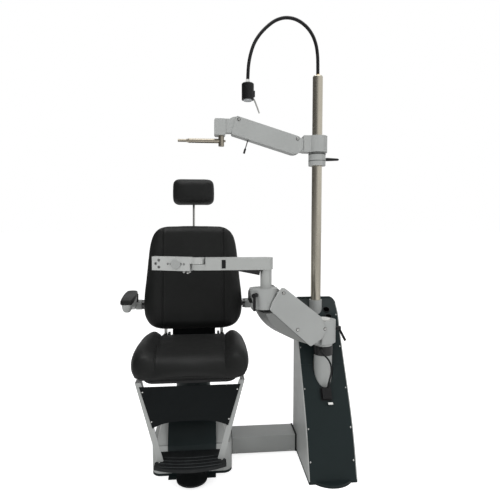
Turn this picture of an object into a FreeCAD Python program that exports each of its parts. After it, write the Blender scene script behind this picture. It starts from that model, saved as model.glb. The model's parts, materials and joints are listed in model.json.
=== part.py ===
import FreeCAD, Part
import math
import os
import re
import Sketcher

# Ophthalmic examination unit: a lifting, reclining chair joined by a floor beam to an
# instrument stand with a pole, a lamp, a refraction arm and a slit-lamp arm.
# Millimetres. X to the patient's left, Y away from the viewer, Z up.
# The origin is on the floor under the axis of the chair's lift column.

SIZES = (
    ("base_width", 364), ("base_length", 500), ("base_front", 198), ("base_plate_thick", 12),
    ("base_corner", 40), ("housing_height", 140), ("cover_wall", 3), ("hood_rise", 150),
    ("hood_bottom_width", 330), ("hood_bottom_length", 376), ("hood_top_width", 236),
    ("hood_top_length", 236), ("apron_width", 218), ("apron_wall", 2.5), ("apron_foot", 45),
    ("apron_bulge", 15), ("column_diameter", 166), ("column_wall", 5), ("sleeve_diameter", 184),
    ("sleeve_wall", 5), ("sleeve_height", 300), ("bush_height", 30), ("column_foot", 60),
    ("actuator_diameter", 60), ("actuator_height", 290), ("rod_diameter", 28),
    ("running_gap", 0.05), ("seat_gap", 0.3), ("air_gap", 2), ("frame_height", 462),
    ("frame_width", 300), ("frame_length", 330), ("frame_thick", 20), ("frame_rear", 128),
    ("lug_thick", 12), ("lug_spacing", 252), ("lug_width", 46), ("pan_thick", 12),
    ("pan_width", 464), ("pan_front", 355), ("pan_rear", 70), ("pan_corner", 50),
    ("seat_width", 508), ("seat_front", 362), ("seat_rear", 80), ("seat_thick", 92),
    ("bolster_rise", 26), ("seam_spacing", 290), ("seam_depth", 7), ("pivot_back", 105),
    ("pivot_height", 560), ("shaft_diameter", 25), ("shaft_length", 316), ("back_lean", 11.1),
    ("back_width", 502), ("back_bottom", 50), ("back_tall", 518), ("back_thick", 62),
    ("back_offset", 4), ("shell_thick", 13), ("shell_margin", 28), ("upright_diameter", 16),
    ("upright_spacing", 290), ("upright_length", 330), ("eye_diameter", 38), ("hub_rise", 169),
    ("cross_tube_length", 592), ("back_cover_width", 222), ("back_cover_flare", 262),
    ("back_cover_drop", 25), ("back_cover_tall", 150), ("back_cover_depth", 38),
    ("socket_width", 44), ("socket_depth", 24), ("socket_base", 400), ("socket_length", 120),
    ("post_diameter", 12), ("post_foot", 405), ("head_width", 224), ("head_tall", 134),
    ("head_thick", 76), ("clamp_width", 48), ("clamp_depth", 16), ("clamp_tall", 44),
    ("pad_width", 62), ("pad_length", 287), ("pad_thick", 24), ("pad_top", 800), ("pad_front", 146),
    ("pad_corner", 14), ("arm_toe", 4.4), ("arm_body_width", 44), ("arm_body_drop", 38),
    ("arm_boss", 26), ("arm_hub", 24), ("rail_top_width", 460), ("rail_foot_width", 276),
    ("rail_foot", 150), ("rail_flange", 25), ("rail_wall", 4), ("rail_top_depth", 120),
    ("rail_foot_depth", 75), ("rail_front", 320), ("rail_lean", 22), ("panel_top", 465),
    ("panel_corner", 291), ("panel_top_width", 424), ("panel_foot_width", 316),
    ("panel_arch_width", 236), ("panel_shoulder", 307), ("panel_arch", 317), ("panel_wall", 3),
    ("footrest_thick", 14), ("footrest_width", 298), ("footrest_rear", 262), ("footrest_wing", 346),
    ("footrest_side", 378), ("footrest_front", 412), ("rib_height", 2), ("rib_width", 4),
    ("pedal_width", 136), ("pedal_reach", 114), ("pedal_thick", 8), ("pedal_lift", 14),
    ("pedal_pin", 6), ("pedal_plate_width", 214), ("pedal_plate_depth", 32),
    ("pedal_plate_thick", 4), ("pedal_ear", 6), ("beam_depth", 118), ("beam_height", 84),
    ("beam_foot", 3), ("beam_rear", 74), ("beam_wall", 4), ("gasket_thick", 8),
    ("gasket_margin", 3), ("stand_offset", 622), ("stand_width", 218), ("stand_depth", 399),
    ("stand_height", 765), ("stand_plate", 14), ("stand_wall", 4), ("stand_corner", 30),
    ("stand_seam", 470), ("stand_gap", 0.6), ("lobe_radius", 107), ("lobe_reach", 36),
    ("pole_diameter", 50), ("pole_height", 1873), ("pole_back", 30), ("pole_wall", 3),
    ("pole_socket_diameter", 64), ("pole_socket_top", 757), ("pole_socket_foot", 660),
    ("well_diameter", 32), ("well_wall", 1.5), ("well_depth", 45), ("well_rim", 4),
    ("well_offset", 52), ("well_pitch", 50), ("goose_diameter", 15), ("ferrule_diameter", 24),
    ("ferrule_height", 22), ("lamp_ring_diameter", 20), ("lamp_ring_height", 12),
    ("lamp_neck_diameter", 16), ("lamp_neck_height", 12), ("lamp_diameter", 60),
    ("lamp_length", 75), ("lamp_bump", 14), ("lamp_wall", 4), ("lens_diameter", 44),
    ("lens_thick", 4), ("grip_diameter", 5), ("grip_length", 76), ("collar_foot", 1432),
    ("collar_height", 59), ("collar_diameter", 85), ("collar_gap", 6), ("lever_length", 78),
    ("lever_diameter", 7), ("lever_root", 13), ("hub_foot", 1497), ("hub_height", 80),
    ("hub_diameter", 100), ("hub_reach", 121), ("hub_lift", 34), ("arm_pivot_length", 301.5),
    ("arm_incline", 16.9), ("arm_radius", 45), ("arm_width", 64), ("arm_wall", 3),
    ("tongue_width", 30), ("tongue_radius", 41), ("cheek_width", 13), ("neck_rise", 31),
    ("neck_drop", 35), ("arm_end", 8), ("arm_end_corner", 6), ("arm_pin_diameter", 12),
    ("link_offset", 24), ("link_width", 12), ("link_thick", 7), ("link_pin_diameter", 8),
    ("spring_diameter", 26), ("arm_head_length", 55), ("arm_head_height", 78),
    ("arm_head_lift", 47), ("spindle_diameter", 28), ("spindle_drop", 50), ("rod_bar_diameter", 22),
    ("rod_bar_length", 156), ("rod_tip_diameter", 14), ("rod_tip_length", 40), ("rod_step", 14),
    ("brake_length", 42), ("brake_diameter", 5), ("brake_grip_diameter", 10),
    ("brake_grip_length", 24), ("slit_back", 125), ("slit_column_diameter", 86),
    ("slit_collar_diameter", 91), ("slit_collar_height", 42), ("slit_spindle_diameter", 50),
    ("slit_ring_diameter", 88), ("slit_ring_height", 12), ("swivel_foot", 582),
    ("swivel_height", 106), ("swivel_radius", 50), ("swivel_stretch", 20), ("cap_diameter", 64),
    ("cap_height", 7), ("slit_angle", 20), ("slit_arm_length", 231), ("slit_incline", 40.4),
    ("slit_pivot_reach", 60), ("slit_plate_gap", 104), ("slit_plate_thick", 4),
    ("slit_plate_corner", 12), ("slit_tongue_width", 60), ("slit_tongue_radius", 32),
    ("slit_pin_diameter", 16), ("slit_head_height", 91), ("slit_head_radius", 50),
    ("slit_head_taper", 6), ("slit_head_stretch", 27), ("post_reach", 72.5),
    ("table_post_diameter", 50), ("table_thick", 52), ("table_depth", 60), ("table_length", 296),
    ("table_wall", 4), ("table_end_radius", 30), ("lap_radius", 28), ("lap_gap", 2),
    ("lap_pin_diameter", 16), ("bracket_angle", 20), ("bracket_length", 215),
    ("bracket_height", 60), ("bracket_depth", 34), ("bracket_bolt_radius", 3.3),
    ("bracket_bolt_pitch", 31), ("disc_diameter", 44), ("disc_thick", 5), ("disc_place", 100),
    ("switch_width", 17), ("switch_height", 36), ("switch_thick", 6), ("switch_place", 196),
    ("trough_length", 123), ("trough_thick", 24), ("trough_start", 28), ("lock_hub_diameter", 20),
    ("lock_hub_length", 24), ("lock_stud_diameter", 10), ("lock_handle_length", 66),
    ("lock_handle_diameter", 12), ("cable_diameter", 8), ("cable_gland_diameter", 14),
    ("cable_gland_length", 10), ("plug_width", 42), ("plug_height", 50), ("plug_thick", 22),
    ("flange_margin", 5), ("flange_thick", 3), ("plug_drop", 350), ("screw_diameter", 7),
    ("screw_rise", 2), ("cross_tube_back", 23), ("cross_bar_height", 82), ("post_back", 21),
    ("headrest_pivot", 764), ("arm_flange", 11), ("arm_flange_gap", 1), ("pad_back", 141),
    ("arm_spread", 303), ("brake_pivot", 223), ("brake_pivot_drop", 34), ("brake_hub_diameter", 14),
    ("slot_length", 28), ("canister_lift", 20), ("canister_length", 196), ("arm_neck_diameter", 62),
    ("hub_face", 73), ("head_face", 47.5), ("spindle_set", 68.5), ("spindle_bore", 60),
    ("lever_set", 33), ("lap_inset", 30), ("bracket_start", 34), ("channel_end", 50),
    ("stub_diameter", 10), ("flat_reach", 38), ("flat_half", 31), ("thrust_diameter", 70),
    ("column_bore", 76), ("link_set", 38), ("gland_set", 11.5), ("gland_forward", 65),
    ("gland_top", 388), ("rear_return", 700), ("rocker_play", 1), ("arm_inset", 6),
    ("arm_hub_length", 32), ("rib_start", 26), ("rib_reach", 116), ("rib_first", 12),
    ("rib_pitch", 16), ("spindle_rise", 94), ("slit_pivot_rise", 70), ("slit_head_drop", 30.7),
    ("table_rise", 174), ("bracket_drop", 6), ("handle_turn", -25), ("handle_lean", 22),
    ("well_lean", 12), ("head_lever_turn", 36), ("grip_lean", 158),
)

# Side view of the stand's front and top, as shares of its depth and height, floor upwards.
STAND_CURVE_SHARES = (
    (0.0, 0.018), (0.053, 0.105), (0.123, 0.216), (0.183, 0.293), (0.283, 0.399), (0.459, 0.559),
    (0.619, 0.701), (0.762, 0.846), (0.810, 0.899), (0.897, 0.946), (1.0, 1.0))
# The chair back's half width along its height, bottom to top, each as a share.
BACK_SHARES = ((0.0, 0.70, 0.50), (0.035, 0.87, 0.82), (0.09, 0.955, 0.95), (0.18, 1.0, 1.0),
               (0.42, 0.965, 1.0), (0.72, 0.925, 0.97), (0.88, 0.85, 0.90), (0.955, 0.74, 0.75),
               (1.0, 0.60, 0.48))
# The seat along its length, rear to front: place, half width, top height and crown shares.
SEAT_SHARES = ((0.0, 0.80, 0.62), (0.06, 0.90, 0.84), (0.25, 0.98, 0.93), (0.62, 1.0, 1.0),
               (0.86, 0.985, 0.98), (0.965, 0.93, 0.80), (1.0, 0.86, 0.52))
HEAD_SHARES = ((0.0, 0.78, 0.45), (0.10, 0.95, 0.88), (0.38, 0.985, 1.0), (0.62, 0.965, 1.0),
               (0.90, 0.93, 0.88), (1.0, 0.76, 0.45))
GOOSE_ROUTE = (
    (0, 0), (0, 50), (-2, 103), (-11, 156), (-33, 205), (-68, 243), (-113, 268), (-163, 274),
    (-211, 259), (-251, 229), (-287, 192), (-316, 148), (-334, 96), (-344, 44), (-347, -6),
    (-347.5, -30))
CABLE_ROUTE = (
    (-22, -39.8, 557), (-29, -55.5, 557), (-27.5, -72, 552), (-18.5, -85, 544), (-6.5, -91.5, 533),
    (3.5, -94.5, 519.5), (10.5, -95, 503.5), (14.8, -93.5, 486.5), (16.5, -90.5, 469),
    (16, -86, 452), (14.5, -80, 436), (12.8, -73, 421), (11.8, -67.5, 407.5), (11.5, -65, 396),
    (11.5, -65, 388))
# The slit-lamp arm seen from its side, as shares of its pivot length from the lower pivot.
PLATE_SHARES = ((1.257, 0.147), (1.239, -0.167), (1.184, -0.325), (-0.033, -0.347),
                (-0.145, -0.098), (-0.128, 0.104), (0.147, 0.239), (1.199, 0.179))
PLATE_SCREW_SHARES = ((1.160, 0.094), (0.439, -0.265), (-0.082, 0.110))
BELLY_SHARES = ((-0.020, -0.324), (0.283, -0.429), (0.735, -0.518), (1.198, -0.429),
                (1.086, -0.327), (0.826, -0.232), (0.053, -0.272))
HOLLOW_SHARES = ((0.012, -0.306), (0.286, -0.413), (0.732, -0.502), (1.168, -0.421),
                 (1.075, -0.335), (0.826, -0.17), (0.053, -0.21))

# How a cushion's flank, shoulder and ridges sit between its underside, side and crest.
FOOT_SHARE = 0.22
WAIST_SHARE = 0.45
LIP_SHARE = 0.42
FLANK_SHARE = 0.22
SHOULDER_SHARE = 0.72
RIDGE_SHARE = 0.22
SIDE_SHARE = 0.985

RIB_COUNT = 5
WELL_COUNT = 2
WELL_ROW = 8
PLUG_ROW = 4
# Where the front panels' screws sit: a row of the stand's curve and a share of the way on.
SCREW_ROW_SHARES = ((1, 0.1), (2, 0.9), (4, 0.55), (6, 0.05), (7, 0.9))
BEND_SHARE = 0.45
BAR_SHARE = 0.7
HEAD_FILL_SHARE = 0.8
GRIP_SHARE = 0.86
PARALLEL_SHARE = 1e-6

WORDS = re.compile(r"[a-z][a-z0-9_]*")
NAMES = {name for name, value in SIZES}
NODES = []

doc = FreeCAD.newDocument("ExaminationUnit")
sheet = doc.addObject("Spreadsheet::Sheet", "Sizes")
for row, (name, value) in enumerate(SIZES, start=1):
    sheet.set("A%d" % row, name)
    sheet.set("B%d" % row, str(value))
    sheet.setAlias("B%d" % row, name)
doc.recompute()


class Values:
    """Reads a driving dimension from the sheet as a plain number."""

    def __getattr__(self, name):
        return float(sheet.get(name))


s = Values()
X_AXIS = FreeCAD.Vector(1, 0, 0)
Y_AXIS = FreeCAD.Vector(0, 1, 0)
Z_AXIS = FreeCAD.Vector(0, 0, 1)
ORIGIN = FreeCAD.Vector(0, 0, 0)
UPRIGHT = FreeCAD.Rotation()
ALONG_X = FreeCAD.Rotation(Y_AXIS, 90)
ALONG_Y = FreeCAD.Rotation(X_AXIS, -90)


def bind(item, prop, expression):
    """Ties one property to the sheet."""
    item.setExpression(prop, WORDS.sub(sheet_name, expression))


def sheet_name(match):
    word = match.group(0)
    return "Sizes." + word if word in NAMES else word


def place(item, x=0.0, y=0.0, z=0.0, turn=UPRIGHT, frame=None):
    """Puts an object at a point, turned, in the part's frame or in a group's."""
    local = FreeCAD.Placement(FreeCAD.Vector(x, y, z), turn)
    item.Placement = frame.multiply(local) if frame else local
    return item


def node(item, label):
    """Marks an object as a sub-part that is written to its own file."""
    item.Label = label
    NODES.append(item)
    return item


def box(wide, deep, tall):
    item = doc.addObject("Part::Box", "Block")
    bind(item, "Length", wide)
    bind(item, "Width", deep)
    bind(item, "Height", tall)
    return item


def rod(radius, length):
    item = doc.addObject("Part::Cylinder", "Rod")
    bind(item, "Radius", radius)
    bind(item, "Height", length)
    return item


def cut(base, *tools):
    for tool in tools:
        item = doc.addObject("Part::Cut", "Cut")
        item.Base = base
        item.Tool = tool
        base = item
    return base


def fuse(*pieces):
    item = doc.addObject("Part::MultiFuse", "Join")
    item.Shapes = list(pieces)
    return item


def group(*pieces):
    """Separate solids that share a node."""
    item = doc.addObject("Part::Compound", "Group")
    item.Links = list(pieces)
    return item


def feature(shape):
    item = doc.addObject("Part::Feature", "Form")
    item.Shape = shape
    return item


def origin_plane(body, role):
    return [item for item in body.Origin.OriginFeatures if item.Role == role][0]


def outline_sketch(body, role, points):
    """A closed polygon whose corners are each tied to the sheet."""
    sketch = body.newObject("Sketcher::SketchObject", "Outline")
    sketch.AttachmentSupport = [(origin_plane(body, role), "")]
    sketch.MapMode = "FlatFace"
    count = len(points)
    start = [FreeCAD.Vector(math.cos(math.tau * k / count), math.sin(math.tau * k / count), 0)
             for k in range(count)]
    for k in range(count):
        sketch.addGeometry(Part.LineSegment(start[k], start[(k + 1) % count]))
    for k in range(count):
        sketch.addConstraint(Sketcher.Constraint("Coincident", k, 2, (k + 1) % count, 1))
    for k, point in enumerate(points):
        for kind, expression, value in zip(("DistanceX", "DistanceY"), point, start[k]):
            index = sketch.addConstraint(Sketcher.Constraint(kind, -1, 1, k, 1, value))
            bind(sketch, "Constraints[%d]" % index, expression)
    return sketch


def slab(points, thickness, role="XY_Plane", corner=None):
    """A flat piece: an outline padded to a thickness, its uprights rounded."""
    body = doc.addObject("PartDesign::Body", "Plate")
    pad = body.newObject("PartDesign::Pad", "Pad")
    pad.Profile = outline_sketch(body, role, points)
    bind(pad, "Length", thickness)
    body.Tip = pad
    if corner:
        doc.recompute()
        fillet = body.newObject("PartDesign::Fillet", "Corners")
        fillet.Base = (pad, uprights(pad.Shape, role))
        bind(fillet, "Radius", corner)
        body.Tip = fillet
    return body


def uprights(shape, role):
    """Names of the edges that stand square to an origin plane."""
    axis = {"XY_Plane": Z_AXIS, "XZ_Plane": Y_AXIS, "YZ_Plane": X_AXIS}[role]
    names = []
    for index, edge in enumerate(shape.Edges, start=1):
        run = edge.Vertexes[1].Point.sub(edge.Vertexes[0].Point)
        if run.cross(axis).Length < PARALLEL_SHARE * run.Length:
            names.append("Edge%d" % index)
    return names


def turned(points):
    """A round piece: a half outline of radius and height, turned about Z."""
    body = doc.addObject("PartDesign::Body", "Turned")
    sketch = outline_sketch(body, "XZ_Plane", points)
    revolution = body.newObject("PartDesign::Revolution", "Revolution")
    revolution.Profile = sketch
    revolution.ReferenceAxis = (sketch, ["V_Axis"])
    revolution.Angle = 360
    body.Tip = revolution
    return body


def rectangle(wide, deep, low="0"):
    """Corners of a rectangle centred across X, from a low edge along Y."""
    return [("-(%s)/2" % wide, low), ("(%s)/2" % wide, low),
            ("(%s)/2" % wide, "%s + %s" % (low, deep)), ("-(%s)/2" % wide, "%s + %s" % (low, deep))]


def ring(outer, inner, height):
    """A tube bound to its two radii, standing on its origin."""
    return turned([(inner, "0"), (outer, "0"), (outer, height), (inner, height)])


def screw_heads(places, frame=None, turn=UPRIGHT):
    """Domed screw heads, one solid at each place."""
    heads = []
    for x, y, z in places:
        head = turned([("0", "0"), ("screw_diameter / 2", "0"),
                       ("screw_diameter / 2", "screw_rise / 2"),
                       ("screw_diameter / 3", "screw_rise"), ("0", "screw_rise")])
        heads.append(place(head, x, y, z, turn, frame))
    return heads


def loft(wires, ruled=False):
    return Part.makeLoft(wires, True, ruled)


def curve(points):
    """One smooth edge through points."""
    line = Part.BSplineCurve()
    line.interpolate([FreeCAD.Vector(*point) for point in points])
    return line.toShape()


def polygon(points):
    return Part.makePolygon([FreeCAD.Vector(*point) for point in points + points[:1]])


def solid_of(edges, direction):
    """A closed flat outline swept along a straight direction."""
    return Part.Face(Part.Wire(Part.__sortEdges__(edges))).extrude(direction)


def tube_route(points, diameter):
    """Straight runs joined by tangent arcs, swept as a round tube."""
    corners = [FreeCAD.Vector(*point) for point in points]
    edges = []
    radii = []
    last = corners[0]
    for before, corner, after in zip(corners, corners[1:], corners[2:]):
        run_in = corner.sub(before)
        run_out = after.sub(corner)
        turn = run_in.getAngle(run_out)
        reach = BEND_SHARE * min(run_in.Length, run_out.Length)
        radii.append(reach / math.tan(turn / 2))
        unit_in = FreeCAD.Vector(run_in).normalize()
        unit_out = FreeCAD.Vector(run_out).normalize()
        start = corner.sub(unit_in * reach)
        end = corner.add(unit_out * reach)
        chord_middle = start.add(end) * 0.5
        inward = chord_middle.sub(corner).normalize()
        middle = corner.add(inward * (radii[-1] / math.cos(turn / 2) - radii[-1]))
        edges.append(Part.LineSegment(last, start).toShape())
        edges.append(Part.Arc(start, middle, end).toShape())
        last = end
    edges.append(Part.LineSegment(last, corners[-1]).toShape())
    path = Part.Wire(edges)
    ring_edge = Part.Circle(corners[0], corners[1].sub(corners[0]), diameter / 2).toShape()
    shape = Part.Wire([ring_edge])
    tube = path.makePipeShell([shape], True, False)
    expected = math.pi * diameter ** 2 / 4 * path.Length
    print("tube length %.0f, radii %s, volume share %.4f" % (
        path.Length, " ".join("%.0f" % radius for radius in radii), tube.Volume / expected))
    return tube


def build_base():
    """Floor plate, its housing and hood, the front apron and the fixed lift sleeve."""
    front = -s.base_front
    plan = rectangle("base_width", "base_length", "-base_front")
    plate = slab(plan, "base_plate_thick", corner="base_corner")
    node(place(plate), "chair_base_plate")

    inset = rectangle("base_width - 2 * cover_wall", "base_length - 2 * cover_wall",
                      "cover_wall - base_front")
    outer = place(slab(plan, "housing_height - base_plate_thick", corner="base_corner"),
                  z=s.base_plate_thick)
    inner = place(slab(inset, "housing_height - base_plate_thick - cover_wall",
                       corner="base_corner - cover_wall"), z=s.base_plate_thick)
    opening = place(rod("sleeve_diameter / 2 + air_gap", "housing_height"))
    node(cut(outer, inner, opening), "base_housing")

    hood = cut(hood_form("0"), hood_form("cover_wall"),
               place(rod("sleeve_diameter / 2 + air_gap", "hood_rise + housing_height"),
                     z=s.housing_height))
    node(hood, "column_hood")

    skin = front - s.seat_gap
    knee = s.housing_height
    top = s.housing_height + s.hood_rise
    inside = [(skin, s.apron_foot), (skin, knee),
              (-(s.hood_bottom_length + s.hood_top_length) / 4 - s.apron_bulge, (knee + top) / 2),
              (-s.hood_top_length / 2 - s.seat_gap - s.air_gap, top)]
    edges = []
    for shift in (0, -s.apron_wall):
        foot, bend, middle, upper = [(-s.apron_width / 2, y + shift, z) for y, z in inside]
        edges += [segment(foot, bend), arc(bend, middle, upper)]
    for y, z in (inside[0], inside[-1]):
        edges.append(segment((-s.apron_width / 2, y, z),
                             (-s.apron_width / 2, y - s.apron_wall, z)))
    apron = feature(solid_of(edges, FreeCAD.Vector(s.apron_width, 0, 0)))
    node(place(apron), "apron_panel")

    throat = "column_diameter / 2 + running_gap"
    step = "sleeve_height - base_plate_thick - bush_height"
    sleeve = turned([("sleeve_diameter / 2 - sleeve_wall", "0"), ("sleeve_diameter / 2", "0"),
                     ("sleeve_diameter / 2", "sleeve_height - base_plate_thick"),
                     (throat, "sleeve_height - base_plate_thick"), (throat, step),
                     ("sleeve_diameter / 2 - sleeve_wall", step)])
    node(place(sleeve, z=s.base_plate_thick), "lift_sleeve")
    body = ring("actuator_diameter / 2", "rod_diameter / 2 + running_gap",
                "actuator_height - base_plate_thick")
    node(place(body, z=s.base_plate_thick), "lift_actuator")


def segment(start, end):
    return Part.LineSegment(FreeCAD.Vector(*start), FreeCAD.Vector(*end)).toShape()


def hood_form(wall):
    """The hood's outer form, or with a wall's thickness its inside."""
    item = doc.addObject("Part::Wedge", "Hood")
    bind(item, "Xmin", "%s - hood_bottom_width / 2" % wall)
    bind(item, "Xmax", "hood_bottom_width / 2 - %s" % wall)
    bind(item, "Zmin", "%s - hood_bottom_length / 2" % wall)
    bind(item, "Zmax", "hood_bottom_length / 2 - %s" % wall)
    bind(item, "Ymin", "0")
    bind(item, "Ymax", "hood_rise - %s" % wall)
    bind(item, "X2min", "%s - hood_top_width / 2" % wall)
    bind(item, "X2max", "hood_top_width / 2 - %s" % wall)
    bind(item, "Z2min", "%s - hood_top_length / 2" % wall)
    bind(item, "Z2max", "hood_top_length / 2 - %s" % wall)
    return place(item, z=s.housing_height, turn=FreeCAD.Rotation(X_AXIS, 90))


def build_pedal():
    """The sprung foot pedal in front of the base, and its hinge bracket."""
    pin_y = -s.base_front - s.pedal_pin - s.air_gap
    pin_z = s.pedal_lift + s.pedal_thick / 2
    plate = place(slab(rectangle("pedal_plate_width", "pedal_plate_depth"),
                       "pedal_plate_thick", corner="pedal_plate_thick"),
                  y=-s.base_front - s.pedal_plate_depth)
    half = s.pedal_width / 2 + s.seat_gap
    ears = []
    for side in (-1, 1):
        ear = box("pedal_ear", "2 * pedal_pin", "pedal_lift + pedal_thick + pedal_pin / 2")
        ears.append(place(ear, min(side * half, side * (half + s.pedal_ear)),
                          pin_y - s.pedal_pin, 0))
    bore = place(rod("pedal_pin / 2 + running_gap", "pedal_width + 4 * pedal_ear"),
                 -s.pedal_width / 2 - 2 * s.pedal_ear, pin_y, pin_z, ALONG_X)
    node(cut(fuse(plate, *ears), bore), "pedal_bracket")
    pin = rod("pedal_pin / 2", "pedal_width + 2 * pedal_ear")
    place(pin, -s.pedal_width / 2 - s.pedal_ear, pin_y, pin_z, ALONG_X)
    tongue = place(box("pedal_width", "pedal_reach - pedal_width / 2 + pedal_pin", "pedal_thick"),
                   -s.pedal_width / 2, pin_y - s.pedal_reach + s.pedal_width / 2, s.pedal_lift)
    nose_y = pin_y - s.pedal_reach + s.pedal_width / 2
    nose = cut(place(rod("pedal_width / 2", "pedal_thick"), 0, nose_y, s.pedal_lift),
               place(box("2 * pedal_width", "pedal_width", "2 * pedal_thick"),
                     -s.pedal_width, nose_y, s.pedal_lift - s.pedal_thick / 2))
    node(fuse(tongue, nose, pin), "foot_pedal")


def build_lift():
    """The rising column with its spindle, and the frame and pan under the seat."""
    inside = "column_diameter / 2 - column_wall"
    tall = "frame_height - column_foot"
    under = "frame_height - column_foot - column_wall"
    column = turned([("0", "0"), ("rod_diameter / 2", "0"), ("rod_diameter / 2", under),
                     (inside, under), (inside, "0"), ("column_diameter / 2", "0"),
                     ("column_diameter / 2", tall), ("0", tall)])
    node(place(column, z=s.column_foot), "lift_column")

    plate = place(box("frame_width", "frame_length", "frame_thick"),
                  -s.frame_width / 2, s.frame_rear - s.frame_length, s.frame_height)
    lugs = []
    for side in (-1, 1):
        lug = slab([("frame_rear - frame_length / 3", "frame_height"),
                    ("frame_rear", "frame_height"),
                    ("frame_rear", "pivot_height + lug_width / 2"),
                    ("pivot_back - lug_width / 2", "pivot_height + lug_width / 2"),
                    ("pivot_back - lug_width / 2", "frame_height + frame_thick")],
                   "lug_thick", "YZ_Plane")
        lugs.append(place(lug, side * s.lug_spacing / 2 - s.lug_thick / 2))
    bore = place(rod("shaft_diameter / 2 + running_gap", "shaft_length"),
                 -s.shaft_length / 2, s.pivot_back, s.pivot_height, ALONG_X)
    node(cut(fuse(plate, *lugs), bore), "seat_frame")

    pan = slab(rectangle("pan_width", "pan_front + pan_rear", "-pan_front"), "pan_thick",
               corner="pan_corner")
    node(place(pan, z=s.frame_height + s.frame_thick), "seat_pan")
    base = s.frame_height + s.frame_thick + s.pan_thick + s.seat_gap
    seat = cushion(SEAT_SHARES, s.seat_front + s.seat_rear, s.seat_width / 2,
                   s.seat_thick, s.bolster_rise, s.seam_spacing / 2, s.seam_depth)
    node(place(seat, 0, s.seat_rear, base, FreeCAD.Rotation(Z_AXIS, 180)), "seat_cushion")


def cushion_section(along, half, rise, bolster, seam, dip):
    """One slice of a cushion: flat underside, bulged flanks and a crowned, seamed face."""
    foot = half - rise * FOOT_SHARE
    waist = (rise + bolster) * WAIST_SHARE
    crest = rise + bolster
    lip = half - (half - seam) * LIP_SHARE
    seam_top = rise - dip
    flank = half - (half - lip) * FLANK_SHARE
    shoulder = waist + (crest - waist) * SHOULDER_SHARE
    ridge = (lip + seam) / 2
    ridge_top = (crest + seam_top) / 2 + (crest - seam_top) * RIDGE_SHARE
    left = [(-foot, 0), (-half * SIDE_SHARE, waist / 2), (-half, waist), (-flank, shoulder),
            (-lip, crest), (-ridge, ridge_top), (-seam, seam_top)]
    turn = [(x, along, z) for x, z in left]
    back = [(-x, y, z) for x, y, z in turn]
    return Part.Wire([
        arc(turn[0], turn[1], turn[2]), arc(turn[2], turn[3], turn[4]),
        arc(turn[4], turn[5], turn[6]), arc(turn[6], (0, along, rise), back[6]),
        arc(back[6], back[5], back[4]), arc(back[4], back[3], back[2]),
        arc(back[2], back[1], back[0]), segment(back[0], turn[0])])


def cushion(shares, length, half, rise, bolster, seam, dip):
    """Slices joined along a cushion's length into one soft form."""
    wires = []
    for along, wide, thick in shares:
        wires.append(cushion_section(along * length, wide * half, thick * rise,
                                     thick * bolster, wide * seam, thick * dip))
    return feature(loft(wires))


def arc(start, middle, end):
    return Part.Arc(FreeCAD.Vector(*start), FreeCAD.Vector(*middle),
                    FreeCAD.Vector(*end)).toShape()


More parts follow.
